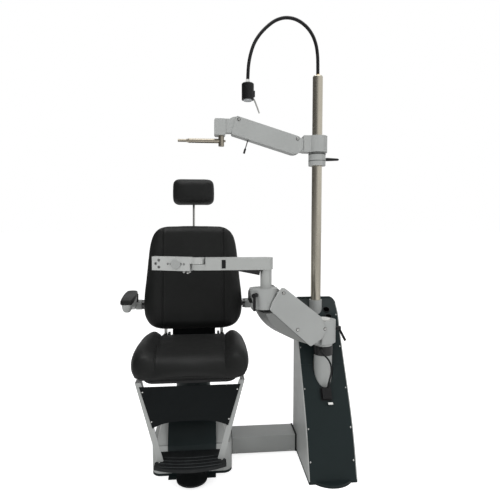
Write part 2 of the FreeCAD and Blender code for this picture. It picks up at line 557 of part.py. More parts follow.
def build_seat_front():
    """Side rails, leg panel and footrest that hang from the seat pan."""
    top = s.frame_height + s.frame_thick
    rails = []
    for side in (-1, 1):
        wires = []
        for wide, front, deep, z in (
                (s.rail_foot_width, s.rail_front + s.rail_lean, s.rail_foot_depth, s.rail_foot),
                (s.rail_top_width, s.rail_front, s.rail_top_depth, top)):
            outer = side * wide / 2
            web = outer - side * s.rail_wall
            lip = outer - side * s.rail_flange
            wires.append(polygon([
                (outer, -front, z), (outer, deep - front, z), (web, deep - front, z),
                (web, s.rail_wall - front, z), (lip, s.rail_wall - front, z), (lip, -front, z)]))
        rails.append(feature(loft(wires, True)))
    node(group(*rails), "side_rails")

    lean = math.degrees(math.atan(s.rail_lean / (top - s.rail_foot)))
    face = FreeCAD.Placement(FreeCAD.Vector(0, -s.rail_front, top),
                             FreeCAD.Rotation(X_AXIS, -lean))
    half = s.panel_foot_width / 2
    corner = s.panel_corner - top
    under = [(-half, 0, corner), (-s.panel_arch_width / 2, 0, s.panel_shoulder - top),
             (0, 0, s.panel_arch - top), (s.panel_arch_width / 2, 0, s.panel_shoulder - top),
             (half, 0, corner)]
    upper = s.panel_top_width / 2
    head = s.panel_top - top
    edges = [curve(under), segment((half, 0, corner), (upper, 0, head)),
             segment((upper, 0, head), (-upper, 0, head)),
             segment((-upper, 0, head), (-half, 0, corner))]
    panel = feature(solid_of(edges, FreeCAD.Vector(0, -s.panel_wall, 0)))
    node(place(panel, frame=face), "leg_panel")
    margin = s.screw_diameter
    screws = []
    for side in (-1, 1):
        screws.append((side * (upper - 2 * margin), -s.panel_wall, head - 3 * margin))
        screws.append((side * (half + margin / 2), -s.panel_wall, corner + 4 * margin))
    heads = screw_heads(screws, face, FreeCAD.Rotation(X_AXIS, 90))
    tray = [(side * (s.rail_foot_width / 2 - margin), -s.footrest_wing - margin / 4, s.rail_foot)
            for side in (-1, 1)]
    node(group(*heads, *screw_heads(tray)), "chair_screws")

    neck = s.rail_foot_width / 2
    wing = s.footrest_width / 2
    low = s.rail_foot - s.footrest_thick
    rear, mid = -s.footrest_rear, -s.footrest_wing
    side_y, nose = -s.footrest_side, -s.footrest_front
    plan = [segment((-neck, rear, low), (neck, rear, low)),
            segment((neck, rear, low), (neck, mid + wing - neck, low)),
            segment((neck, mid + wing - neck, low), (wing, mid, low)),
            segment((wing, mid, low), (wing, side_y, low)),
            arc((wing, side_y, low), (0, nose, low), (-wing, side_y, low)),
            segment((-wing, side_y, low), (-wing, mid, low)),
            segment((-wing, mid, low), (-neck, mid + wing - neck, low)),
            segment((-neck, mid + wing - neck, low), (-neck, rear, low))]
    rest = solid_of(plan, FreeCAD.Vector(0, 0, s.footrest_thick))
    sagitta = side_y - nose
    bow = (wing ** 2 + sagitta ** 2) / (2 * sagitta)
    centre = FreeCAD.Vector(0, nose + bow, s.rail_foot)
    for count in range(RIB_COUNT):
        radius = bow - s.rib_first - count * s.rib_pitch
        band = Part.makeCylinder(radius, s.rib_height, centre).cut(
            Part.makeCylinder(radius - s.rib_width, s.rib_height, centre))
        for low in (-s.rib_reach, s.rib_start):
            zone = Part.makeBox(s.rib_reach - s.rib_start, 2 * bow, s.rib_height,
                                FreeCAD.Vector(low, nose, s.rail_foot))
            near = Part.makeBox(2 * wing, bow, s.rib_height,
                                FreeCAD.Vector(-wing, nose, s.rail_foot))
            rest = rest.fuse(band.common(zone).common(near))
    node(feature(rest), "footrest")


def build_back(frame):
    """The backrest with its frame, mechanism cover and headrest."""
    pad = cushion(BACK_SHARES, s.back_tall, s.back_width / 2, s.back_thick,
                  s.bolster_rise / 2, s.seam_spacing / 2, s.seam_depth)
    upright = FreeCAD.Rotation(X_AXIS, 90)
    node(place(pad, 0, -s.back_offset - s.seat_gap, s.back_bottom, upright, frame), "back_cushion")

    half = s.back_width / 2 - s.shell_margin
    tall = s.back_tall - s.shell_margin
    start = s.back_bottom + s.shell_margin / 2
    side = [(wide * half, 0, start + along * tall) for along, wide, thick in BACK_SHARES]
    other = [(-x, y, z) for x, y, z in side]
    edges = [curve(side), curve(other), segment(side[0], other[0]), segment(side[-1], other[-1])]
    plate = feature(solid_of(edges, FreeCAD.Vector(0, s.shell_thick, 0)))
    place(plate, y=-s.back_offset, frame=frame)
    guide = place(box("socket_width", "socket_depth", "socket_length"), -s.socket_width / 2,
                  s.shell_thick - s.back_offset, s.socket_base, frame=frame)
    bore = place(rod("post_diameter / 2 + running_gap", "2 * socket_length"),
                 0, s.post_back, s.socket_base - s.socket_length / 2, frame=frame)
    node(cut(fuse(plate, guide), bore), "back_shell")

    pieces = []
    rail_y = s.shell_thick - s.back_offset + s.upright_diameter / 2
    for sign in (-1, 1):
        pieces.append(place(rod("upright_diameter / 2", "upright_length"),
                            sign * s.upright_spacing / 2, rail_y, 0, frame=frame))
        pieces.append(place(rod("eye_diameter / 2", "upright_diameter * 5 / 4"),
                            sign * s.upright_spacing / 2 - s.upright_diameter * 5 / 8, 0, 0,
                            ALONG_X, frame))
        outer = s.seat_width / 2 + s.air_gap if sign > 0 else (
            -s.seat_width / 2 - s.air_gap - s.arm_flange)
        pieces.append(place(rod("arm_hub", "arm_flange"), outer, s.cross_tube_back, s.hub_rise,
                            ALONG_X, frame))
    pieces.append(place(rod("shaft_diameter / 2", "shaft_length"), -s.shaft_length / 2, 0, 0,
                        ALONG_X, frame))
    pieces.append(place(rod("shaft_diameter / 2", "cross_tube_length"),
                        -s.cross_tube_length / 2, s.cross_tube_back, s.hub_rise, ALONG_X, frame))
    bar_front = rail_y - s.upright_diameter / 4
    pieces.append(place(box("upright_spacing", "upright_diameter * %s" % BAR_SHARE, "eye_diameter / 2"),
                        -s.upright_spacing / 2, bar_front, s.cross_bar_height, frame=frame))
    node(fuse(*pieces), "back_frame")

    cover_front = bar_front + s.upright_diameter * BAR_SHARE
    outer, inner = [], []
    for z, wide in ((-s.back_cover_drop, s.back_cover_width),
                    (s.cross_bar_height, s.back_cover_width),
                    (s.back_cover_tall - s.back_cover_drop, s.back_cover_flare)):
        outer.append((wide / 2, cover_front, z))
        inner.append((wide / 2 - s.cover_wall, cover_front, z))
    outside = polygon(outer + [(-x, y, z) for x, y, z in reversed(outer)])
    deep = FreeCAD.Vector(0, s.back_cover_depth, 0)
    within = [(x, y, min(max(z, s.cover_wall - s.back_cover_drop),
                         s.back_cover_tall - s.back_cover_drop - s.cover_wall))
              for x, y, z in inner]
    inside = polygon(within + [(-x, y, z) for x, y, z in reversed(within)])
    hollow = Part.Face(inside).extrude(FreeCAD.Vector(0, s.back_cover_depth - s.cover_wall, 0))
    cover = Part.Face(outside).extrude(deep).cut(hollow)
    node(place(feature(cover), frame=frame), "back_cover")

    stem = place(rod("post_diameter / 2", "headrest_pivot - post_foot"),
                 0, s.post_back, s.post_foot, frame=frame)
    bar = place(rod("post_diameter / 2", "clamp_width"),
                -s.clamp_width / 2, s.post_back, s.headrest_pivot, ALONG_X, frame)
    node(fuse(stem, bar), "headrest_post")
    head = cushion(HEAD_SHARES, s.head_tall, s.head_width / 2,
                   s.head_thick * HEAD_FILL_SHARE, s.head_thick * (1 - HEAD_FILL_SHARE),
                   s.head_width / 6, s.seat_gap)
    front = s.post_back - s.clamp_depth / 2 - s.running_gap
    node(place(head, 0, front - s.seat_gap, s.headrest_pivot - s.head_tall / 2, upright, frame),
         "headrest_cushion")
    clamp = place(box("clamp_width - running_gap", "clamp_depth", "clamp_tall"),
                  -s.clamp_width / 2, front, s.headrest_pivot - s.clamp_tall / 2, frame=frame)
    pin = place(rod("post_diameter / 2 + running_gap", "2 * clamp_width"),
                -s.clamp_width, s.post_back, s.headrest_pivot, ALONG_X, frame)
    slot = place(box("post_diameter + 2 * air_gap", "3 * clamp_depth",
                     "clamp_tall + post_diameter"),
                 -s.post_diameter / 2 - s.air_gap, front - s.clamp_depth,
                 s.headrest_pivot - s.clamp_tall, frame=frame)
    plate = place(box("2 * clamp_width", "air_gap", "clamp_tall * 2"),
                  -s.clamp_width, front, s.headrest_pivot - s.clamp_tall, frame=frame)
    node(cut(fuse(clamp, plate), pin, slot), "headrest_clamp")


def build_armrests(frame):
    """Swing-up armrests on the ends of the back's cross tube."""
    hub = frame.multVec(FreeCAD.Vector(0, s.cross_tube_back, s.hub_rise))
    low = s.pad_top - s.pad_thick
    inner = s.seat_width / 2 + s.air_gap + s.arm_flange + s.arm_flange_gap
    for side, name in ((-1, "right"), (1, "left")):
        middle = FreeCAD.Placement(
            FreeCAD.Vector(side * s.arm_spread, (s.pad_back - s.pad_front) / 2, 0),
            FreeCAD.Rotation(Z_AXIS, -side * s.arm_toe))
        pad = slab(rectangle("pad_width", "pad_length", "-pad_length / 2"), "pad_thick",
                   corner="pad_corner")
        node(place(pad, z=low, frame=middle), "arm_pad_" + name)
        centre = (s.pad_back - s.pad_front) / 2
        line = [(hub.y - s.arm_boss, low), (-s.pad_front + s.arm_inset, low),
                (-s.pad_front, low - s.pad_thick * 2 / 3),
                (-s.pad_front + 2 * s.arm_inset, low - s.arm_body_drop),
                (-s.pad_front / 2, low - s.arm_body_drop), (hub.y, hub.z - s.arm_boss),
                (hub.y, hub.z + s.arm_boss)]
        half = s.arm_body_width / 2
        flat = polygon([(-half, y - centre, z) for y, z in line])
        beam = Part.Face(flat).extrude(FreeCAD.Vector(s.arm_body_width, 0, 0))
        body = place(feature(beam), frame=middle)
        start = inner if side > 0 else -inner - s.arm_hub_length
        disc = place(rod("arm_boss", "arm_hub_length"), start, hub.y, hub.z, ALONG_X)
        bore = place(rod("shaft_diameter / 2 + running_gap",
                         "cross_tube_length + 2 * running_gap"),
                     -s.cross_tube_length / 2 - s.running_gap, hub.y, hub.z, ALONG_X)
        node(cut(fuse(body, disc), bore), "arm_beam_" + name)


def stand_shell(inset):
    """The stand's outer form, or with a wall's thickness its inside."""
    rear = s.beam_rear
    line = [(rear - s.stand_depth + y * s.stand_depth, z * s.stand_height)
            for y, z in STAND_CURVE_SHARES]
    moved = []
    for k, (y, z) in enumerate(line):
        before = line[max(k - 1, 0)]
        after = line[min(k + 1, len(line) - 1)]
        run = math.hypot(after[0] - before[0], after[1] - before[1])
        moved.append((y + inset * (after[1] - before[1]) / run,
                      z - inset * (after[0] - before[0]) / run))
    left = s.stand_offset - s.stand_width / 2 + inset
    back = rear - inset
    top = moved[-1][1]
    points = [(left, y, z) for y, z in moved[:-1]] + [(left, back, top)]
    first = (left, points[0][1], s.stand_plate)
    last = (left, back, s.stand_plate)
    points[0] = first
    edges = [curve(points), segment(points[-1], last), segment(last, first)]
    wide = s.stand_width - 2 * inset
    side = solid_of(edges, FreeCAD.Vector(wide, 0, 0))
    block = Part.makeBox(wide, 2 * s.stand_depth, 2 * s.stand_height,
                         FreeCAD.Vector(left, back - 2 * s.stand_depth, 0))
    corners = [edge for edge in block.Edges
               if edge.Length > 2 * s.stand_height - s.seat_gap
               and edge.Vertexes[0].Point.y > 0 and edge.Vertexes[1].Point.y > 0
               and abs(edge.Vertexes[0].Point.z - edge.Vertexes[1].Point.z) > s.stand_height]
    return side.common(block.makeFillet(s.stand_corner - inset, corners))


def block_at(x0, x1, y0, y1, z0, z1):
    return Part.makeBox(x1 - x0, y1 - y0, z1 - z0, FreeCAD.Vector(x0, y0, z0))


def stand_face(row, part):
    """A point of the stand's side view between two of its curve's points, and its lean."""
    rear = s.beam_rear
    low, high = STAND_CURVE_SHARES[row], STAND_CURVE_SHARES[row + 1]
    y0, z0 = rear - s.stand_depth * (1 - low[0]), low[1] * s.stand_height
    y1, z1 = rear - s.stand_depth * (1 - high[0]), high[1] * s.stand_height
    lean = math.degrees(math.atan2(z1 - z0, y1 - y0))
    return y0 + (y1 - y0) * part, z0 + (z1 - z0) * part, lean


def build_stand(screws):
    """Floor plate, shell panels, wells and the sockets of the instrument stand."""
    middle = s.stand_offset
    left, right = middle - s.stand_width / 2, middle + s.stand_width / 2
    rear = s.beam_rear
    base = place(slab(rectangle("stand_width", "stand_depth", "beam_rear - stand_depth"),
                      "stand_plate", corner="seat_gap"), x=middle)
    lobe = place(rod("lobe_radius", "stand_plate"), middle,
                 rear - s.stand_depth + s.lobe_radius - s.lobe_reach, 0)
    node(fuse(base, lobe), "stand_base_plate")

    shell = stand_shell(0).cut(stand_shell(s.stand_wall))
    turn_y = rear - s.stand_corner
    gap = s.stand_gap
    far = 2 * s.stand_height
    split = left + s.stand_wall, right - s.stand_wall
    low_y = -s.stand_depth
    column_hole = Part.makeCylinder(s.slit_collar_diameter / 2 + s.air_gap, far,
                                    FreeCAD.Vector(middle, -s.slit_back, 0))
    socket_hole = Part.makeCylinder(s.pole_socket_diameter / 2, far,
                                    FreeCAD.Vector(middle, s.pole_back, 0))
    front = split[0] + gap, split[1] - gap
    upper = block_at(*front, low_y, turn_y, s.stand_seam, far).fuse(
        block_at(left, right, turn_y, rear, s.rear_return, far))
    zones = {
        "stand_side_panels": [block_at(left, split[0], low_y, turn_y, 0, far),
                              block_at(split[1], right, low_y, turn_y, 0, far)],
        "stand_rear_panel": [block_at(left, right, turn_y, rear, 0, s.rear_return)],
        "stand_front_panels": [block_at(*front, low_y, turn_y, 0, s.stand_seam - gap), upper]}
    wells = []
    holes = []
    y, z, lean = stand_face(WELL_ROW, 1 / 2)
    tilt = FreeCAD.Rotation(X_AXIS, lean - s.well_lean)
    along = tilt.multVec(Y_AXIS)
    for count in range(WELL_COUNT):
        spot = FreeCAD.Vector(middle + s.well_offset, y, z).sub(along * (count * s.well_pitch))
        well = turned([("0", "0"), ("well_diameter / 2 + well_wall", "0"),
                       ("well_diameter / 2 + well_wall", "well_depth + well_rim"),
                       ("well_diameter / 2", "well_depth + well_rim"),
                       ("well_diameter / 2", "well_wall"), ("0", "well_wall")])
        spot = spot.sub(tilt.multVec(Z_AXIS) * s.well_depth)
        wells.append(place(well, spot.x, spot.y, spot.z, tilt))
        hole = Part.makeCylinder(s.well_diameter / 2 + s.well_wall, 2 * s.well_depth)
        hole.Placement = FreeCAD.Placement(spot, tilt)
        holes.append(hole)
    node(group(*wells), "instrument_wells")

    below, above = STAND_CURVE_SHARES[PLUG_ROW][1], STAND_CURVE_SHARES[PLUG_ROW + 1][1]
    flange_y, flange_z, lean = stand_face(PLUG_ROW, (s.plug_drop / s.stand_height - below)
                                          / (above - below))
    face = FreeCAD.Placement(FreeCAD.Vector(middle, flange_y, flange_z),
                             FreeCAD.Rotation(X_AXIS, lean))
    flange = place(box("plug_width + 2 * flange_margin", "plug_height + 2 * flange_margin",
                       "2 * flange_thick"), -s.plug_width / 2 - s.flange_margin,
                   -s.plug_height / 2 - s.flange_margin, -s.flange_thick, frame=face)
    plug = place(box("plug_width", "plug_height", "plug_thick"), -s.plug_width / 2,
                 -s.plug_height / 2, 0, frame=face)
    gland = place(rod("cable_gland_diameter / 2", "2 * cable_gland_length"),
                  middle + s.gland_set, -s.slit_back - s.gland_forward,
                  s.gland_top - 2 * s.cable_gland_length)
    plug_node = node(fuse(flange, plug, gland), "cable_plug")
    doc.recompute()
    for name, pieces in zones.items():
        panels = []
        for zone in pieces:
            panel = shell.common(zone)
            if name == "stand_front_panels":
                panel = panel.cut(column_hole).cut(socket_hole).cut(plug_node.Shape)
                panel = panel.cut(screws.Shape)
                for hole in holes:
                    panel = panel.cut(hole)
            panels.append(feature(panel))
        node(group(*panels), name)

    socket = ring("pole_socket_diameter / 2", "pole_diameter / 2",
                  "pole_socket_top - pole_socket_foot")
    node(place(socket, middle, s.pole_back, s.pole_socket_foot), "pole_socket")
    inside = "pole_diameter / 2 - pole_wall"
    tall = "pole_height - stand_plate"
    pole = turned([(inside, "0"), ("pole_diameter / 2", "0"),
                   ("pole_diameter / 2", tall + " - 2 * pole_wall"),
                   ("pole_diameter / 2 - pole_wall", tall + " - pole_wall / 2"),
                   ("ferrule_diameter / 2", tall), ("0", tall), ("0", tall + " - pole_wall"),
                   (inside, tall + " - 3 * pole_wall")])
    node(place(pole, middle, s.pole_back, s.stand_plate), "instrument_pole")

    beam_left = s.base_width / 2 + s.gasket_thick
    beam_right = left - s.gasket_thick
    beam = cut(
        place(box("stand_offset - stand_width / 2 - base_width / 2 - 2 * gasket_thick",
                  "beam_depth", "beam_height"), beam_left, rear - s.beam_depth, s.beam_foot),
        place(box("stand_offset", "beam_depth - 2 * beam_wall", "beam_height - 2 * beam_wall"),
              0, rear - s.beam_depth + s.beam_wall, s.beam_foot + s.beam_wall))
    node(beam, "floor_beam")
    gaskets = [place(box("gasket_thick", "beam_depth + gasket_margin",
                         "beam_height + gasket_margin"), x,
                     rear - s.beam_depth - s.gasket_margin, s.beam_foot)
               for x in (s.base_width / 2, beam_right)]
    node(group(*gaskets), "beam_gaskets")


def build_root_screws():
    """Domed screws of the stand, beam and base covers."""
    heads = []
    middle, half = s.stand_offset, s.stand_width / 2 - s.stand_wall - s.screw_diameter
    for row, part in SCREW_ROW_SHARES:
        y, z, lean = stand_face(row, part)
        face = FreeCAD.Placement(FreeCAD.Vector(0, y, z), FreeCAD.Rotation(X_AXIS, lean))
        for side in (-1, 1):
            heads += screw_heads([(middle + side * half, 0, -s.screw_rise / 4)], face)
    outward = FreeCAD.Rotation(X_AXIS, 90)
    front = s.beam_rear - s.beam_depth
    for x in (s.base_width / 2 + 3 * s.gasket_thick, middle - s.stand_width / 2
              - 4 * s.gasket_thick):
        heads += screw_heads([(x, front, s.beam_foot + s.gasket_thick)], turn=outward)
    return node(group(*heads), "cover_screws")


def build_lamp():
    """Flexible lamp arm on top of the pole, its lamp, lens and handle."""
    top = FreeCAD.Vector(s.stand_offset, s.pole_back, s.pole_height)
    end = top.add(FreeCAD.Vector(GOOSE_ROUTE[-1][0], 0, GOOSE_ROUTE[-1][1]))
    route = [(top.x + x, top.y, top.z + z) for x, z in GOOSE_ROUTE]
    tube = feature(tube_route(route, s.goose_diameter))
    ferrule = place(rod("ferrule_diameter / 2", "ferrule_height"), top.x, top.y, top.z)
    ring_top = cut(
        place(rod("lamp_ring_diameter / 2", "lamp_ring_height"), end.x, end.y,
              end.z - s.lamp_ring_height),
        place(rod("stub_diameter / 2 + running_gap", "lamp_ring_height - air_gap"), end.x, end.y,
              end.z - s.lamp_ring_height))
    node(fuse(tube, ferrule, ring_top), "lamp_arm")
    head_top = end.z - s.lamp_ring_height - s.lamp_neck_height
    shade = turned([
        ("0", "0"), ("lens_diameter / 2", "0"), ("lens_diameter / 2", "lamp_wall - lamp_length"),
        ("lamp_diameter / 2", "lamp_wall - lamp_length"), ("lamp_diameter / 2", "lamp_wall"),
        ("lamp_diameter / 2 - lamp_wall", "2 * lamp_wall"),
        ("lamp_neck_diameter / 2", "2 * lamp_wall"),
        ("lamp_neck_diameter / 2", "lamp_neck_height"),
        ("stub_diameter / 2", "lamp_neck_height"),
        ("stub_diameter / 2", "lamp_neck_height + lamp_ring_height - 2 * air_gap"),
        ("0", "lamp_neck_height + lamp_ring_height - 2 * air_gap")])
    place(shade, end.x, end.y, head_top)
    bump = place(box("lamp_bump", "lamp_bump", "2 * lamp_bump"),
                 end.x + s.lamp_diameter / 2 - s.lamp_bump * 2 / 3, end.y - s.lamp_bump / 2,
                 head_top - s.lamp_length * 3 / 4)
    grip = place(rod("grip_diameter / 2", "grip_length"), end.x + s.lamp_diameter / 2
                 - s.grip_diameter / 2, end.y, head_top - s.lamp_length * GRIP_SHARE,
                 FreeCAD.Rotation(Y_AXIS, s.grip_lean))
    node(fuse(shade, bump, grip), "lamp_head")
    lens = place(rod("lens_diameter / 2", "lens_thick"), end.x, end.y,
                 head_top - s.lamp_length + 2 * s.lens_thick)
    node(lens, "lamp_lens")


def arm_frame(reach, height, incline, base):
    """A frame along an arm: X to its far pivot, Z square to it and upward."""
    return base.multiply(FreeCAD.Placement(FreeCAD.Vector(reach, 0, height),
                                           FreeCAD.Rotation(Y_AXIS, -incline)))


def across(radius, length, low, x, z, frame):
    """A rod across an arm from a low offset from its middle plane."""
    return place(rod(radius, length), x, low, z, ALONG_Y, frame)


def block(wide, deep, tall, x, y, z, frame):
    return place(box(wide, deep, tall), x, y, z, frame=frame)


def build_refraction(base):
    """Collar, hub, balanced arm, levelling link, head and the phoropter's rod."""
    axis_x, axis_y = s.stand_offset, s.pole_back
    throat = "pole_diameter / 2"
    step = "collar_height * 2 / 5"
    collar = turned([(throat, "0"), ("collar_diameter / 2", "0"), ("collar_diameter / 2", step),
                     ("arm_neck_diameter / 2", step),
                     ("arm_neck_diameter / 2", "collar_height + collar_gap"),
                     (throat, "collar_height + collar_gap")])
    node(place(collar, axis_x, axis_y, s.collar_foot), "refraction_collar")
    low = s.collar_height * 2 / 5 + 2 * s.running_gap
    brake = ring("collar_diameter / 2", "arm_neck_diameter / 2 + running_gap",
                 "collar_height * 3 / 5 - 4 * running_gap")
    place(brake, axis_x, axis_y, s.collar_foot + low)
    lever = place(rod("lever_diameter / 2", "lever_length"), axis_x + s.lever_set, axis_y,
                  s.collar_foot + s.lever_set, ALONG_X)
    root = place(rod("lever_root / 2", "lever_set / 2"), axis_x + s.lever_set, axis_y,
                 s.collar_foot + s.lever_set, ALONG_X)
    node(fuse(brake, lever, root), "refraction_brake_ring")

    lift = s.hub_foot + s.hub_lift
    half = s.arm_width / 2
    hub = place(rod("hub_diameter / 2", "hub_height"), z=s.hub_foot, frame=base)
    face = block("hub_face", "arm_width", "hub_height", 0, -half, s.hub_foot, base)
    tongue = [across("tongue_radius", "tongue_width + cheek_width", -s.tongue_width / 2,
                     s.hub_reach, lift, base),
              block("hub_reach - hub_face", "tongue_width + cheek_width",
                    "hub_lift + neck_rise", s.hub_face, -s.tongue_width / 2, s.hub_foot, base)]
    pole_hole = place(rod("pole_diameter / 2 + running_gap", "2 * hub_height"),
                      z=s.hub_foot - s.hub_height / 2, frame=base)
    pin_hole = across("arm_pin_diameter / 2 + running_gap", "arm_width", -half, s.hub_reach,
                      lift, base)
    link_hole = across("link_pin_diameter / 2 + running_gap", "arm_width", -half, s.hub_reach,
                       lift - s.link_offset, base)
    node(cut(fuse(hub, face, *tongue), pole_hole, pin_hole, link_hole), "refraction_hub")

    arm = arm_frame(s.hub_reach, lift, s.arm_incline, base)
    far = s.arm_pivot_length
    shell = slab([("0", "-arm_radius"), ("arm_pivot_length + arm_end", "-arm_radius"),
                  ("arm_pivot_length + arm_end", "arm_radius"), ("0", "arm_radius")],
                 "arm_width", "XZ_Plane", corner="arm_end_corner")
    outer = [place(shell, 0, half, 0, frame=arm),
             across("arm_radius", "arm_width", -half, 0, 0, arm)]
    inner = block("arm_pivot_length + 4 * arm_radius", "arm_width - 2 * arm_wall",
                  "2 * arm_radius - 2 * arm_wall", -2 * s.arm_radius, s.arm_wall - half,
                  s.arm_wall - s.arm_radius, arm)
    slot = block("slot_length", "brake_hub_diameter * 2 / 3", "2 * arm_wall",
                 s.brake_pivot - s.slot_length / 2, -s.brake_hub_diameter / 3,
                 -s.arm_radius - s.arm_wall / 2, arm)
    inside = [across("arm_pin_diameter / 2", "arm_width", -half, x, 0, arm) for x in (0, far)]
    inside.append(across("arm_wall", "arm_width", -half, s.brake_pivot, -s.brake_pivot_drop, arm))
    inside.append(place(rod("spring_diameter / 2", "canister_length"),
                        (far - s.canister_length) / 2, 0, s.canister_lift, ALONG_X, arm))
    inside.append(block("arm_wall", "arm_width", "arm_radius - canister_lift", far / 2, -half,
                        s.canister_lift, arm))
    level = s.arm_radius - 2 * s.screw_diameter
    heads = screw_heads([(-s.screw_diameter, half, level), (far - s.screw_diameter, half, level)],
                        arm, FreeCAD.Rotation(X_AXIS, -90))
    node(fuse(cut(fuse(*outer), inner, slot), *inside, *heads), "refraction_arm")

    link = arm_frame(s.hub_reach, lift - s.link_offset, s.arm_incline, base)
    back = -s.tongue_width / 2 - s.air_gap - s.link_thick
    bar = [block("arm_pivot_length", "link_thick", "link_width", 0, back, -s.link_width / 2, link)]
    for x in (0, far):
        bar.append(across("link_width / 2", "link_thick", back, x, 0, link))
        bar.append(across("link_pin_diameter / 2",
                          "tongue_width + air_gap + link_thick - arm_wall", back, x, 0, link))
    node(fuse(*bar), "refraction_link")

    end = arm.multVec(FreeCAD.Vector(far, 0, 0))
    head = FreeCAD.Placement(end, base.Rotation)
    case = slab([("head_face", "-arm_head_lift"), ("head_face + arm_head_length", "-arm_head_lift"),
                 ("head_face + arm_head_length", "arm_head_height - arm_head_lift"),
                 ("head_face", "arm_head_height - arm_head_lift")], "arm_width", "XZ_Plane",
                corner="3 * arm_wall")
    place(case, 0, half, 0, frame=head)
    tongue = [across("tongue_radius", "tongue_width + cheek_width", -s.tongue_width / 2, 0, 0,
                     head),
              block("head_face + 3 * arm_wall", "tongue_width + cheek_width",
                    "neck_drop + arm_head_height - arm_head_lift", 0, -s.tongue_width / 2,
                    -s.neck_drop, head)]
    spindle_hole = place(rod("spindle_diameter / 2 + running_gap", "spindle_bore"),
                         s.spindle_set, 0, -s.arm_head_lift, frame=head)
    pin_hole = across("arm_pin_diameter / 2 + running_gap", "arm_width", -half, 0, 0, head)
    link_hole = across("link_pin_diameter / 2 + running_gap", "arm_width", -half, 0,
                       -s.link_offset, head)
    node(cut(fuse(case, *tongue), spindle_hole, pin_hole, link_hole), "refraction_head")

    foot = -s.arm_head_lift - s.spindle_drop
    spindle = place(rod("spindle_diameter / 2", "spindle_drop + spindle_bore"), s.spindle_set, 0,
                    foot, frame=head)
    level = foot + s.rod_bar_diameter + s.rod_step / 4
    wide, thin, groove = "rod_bar_diameter / 2", "rod_bar_diameter / 2 - air_gap", "air_gap"
    long = "rod_bar_length + spindle_diameter / 2"
    bar = turned([
        ("0", "0"), (wide, "0"), (wide, long + " - 3 * rod_step"),
        (thin, long + " - 3 * rod_step"), (thin, long + " - 3 * rod_step + " + groove),
        (wide, long + " - 3 * rod_step + " + groove), (wide, long + " - 2 * rod_step"),
        (thin, long + " - 2 * rod_step"), (thin, long + " - 2 * rod_step + " + groove),
        (wide, long + " - 2 * rod_step + " + groove), (wide, long + " - rod_step"),
        ("rod_tip_diameter / 2", long), ("rod_tip_diameter / 2", long + " + rod_tip_length"),
        ("0", long + " + rod_tip_length")])
    place(bar, s.spindle_set, 0, level, ALONG_X, head)
    stub = place(rod("brake_diameter", "spindle_diameter / 2 + rod_step / 2"), s.spindle_set, 0,
                 level, FreeCAD.Rotation(Y_AXIS, -90), head)
    node(fuse(spindle, bar, stub), "refraction_rod")

    drop = -s.brake_pivot_drop
    eye = across("brake_hub_diameter / 2", "brake_hub_diameter / 2", -s.brake_hub_diameter / 4,
                 s.brake_pivot, drop, arm)
    stem = place(rod("brake_diameter / 2", "brake_length + 3 * arm_wall + brake_grip_length"),
                 s.brake_pivot, 0, drop - s.brake_length - 3 * s.arm_wall - s.brake_grip_length,
                 frame=arm)
    grip = place(rod("brake_grip_diameter / 2", "brake_grip_length"), s.brake_pivot, 0,
                 drop - s.brake_length - 4 * s.arm_wall - s.brake_grip_length, frame=arm)
    pin = across("arm_wall + running_gap", "arm_width", -half, s.brake_pivot, drop, arm)
    node(cut(fuse(eye, stem, grip), pin), "refraction_brake_lever")


def oval(first, second, radius, z):
    """A level outline of two half circles joined by straight sides."""
    return Part.Wire([
        segment((first, -radius, z), (second, -radius, z)),
        arc((second, -radius, z), (second + radius, 0, z), (second, radius, z)),
        segment((second, radius, z), (first, radius, z)),
        arc((first, radius, z), (first - radius, 0, z), (first, -radius, z))])


def lock_lever(centre, direction, reach, handle_turn, lean):
    """A threaded stud with a round hub and a handle set off at an angle."""
    turn = FreeCAD.Rotation(Z_AXIS, direction)
    base = FreeCAD.Placement(centre, turn)
    stud = place(rod("lock_stud_diameter / 2", "lock_stud_diameter + lock_hub_length"),
                 reach - s.lock_stud_diameter, 0, 0, ALONG_X, base)
    hub = place(rod("lock_hub_diameter / 2", "lock_hub_length"), reach + s.air_gap, 0, 0,
                ALONG_X, base)
    angle = FreeCAD.Rotation(X_AXIS, handle_turn).multiply(FreeCAD.Rotation(Y_AXIS, 180 - lean))
    handle = place(rod("lock_handle_diameter / 2", "lock_handle_length"),
                   reach + s.air_gap + s.lock_hub_length * 2 / 3, 0, 0, angle, base)
    return fuse(stud, hub, handle)


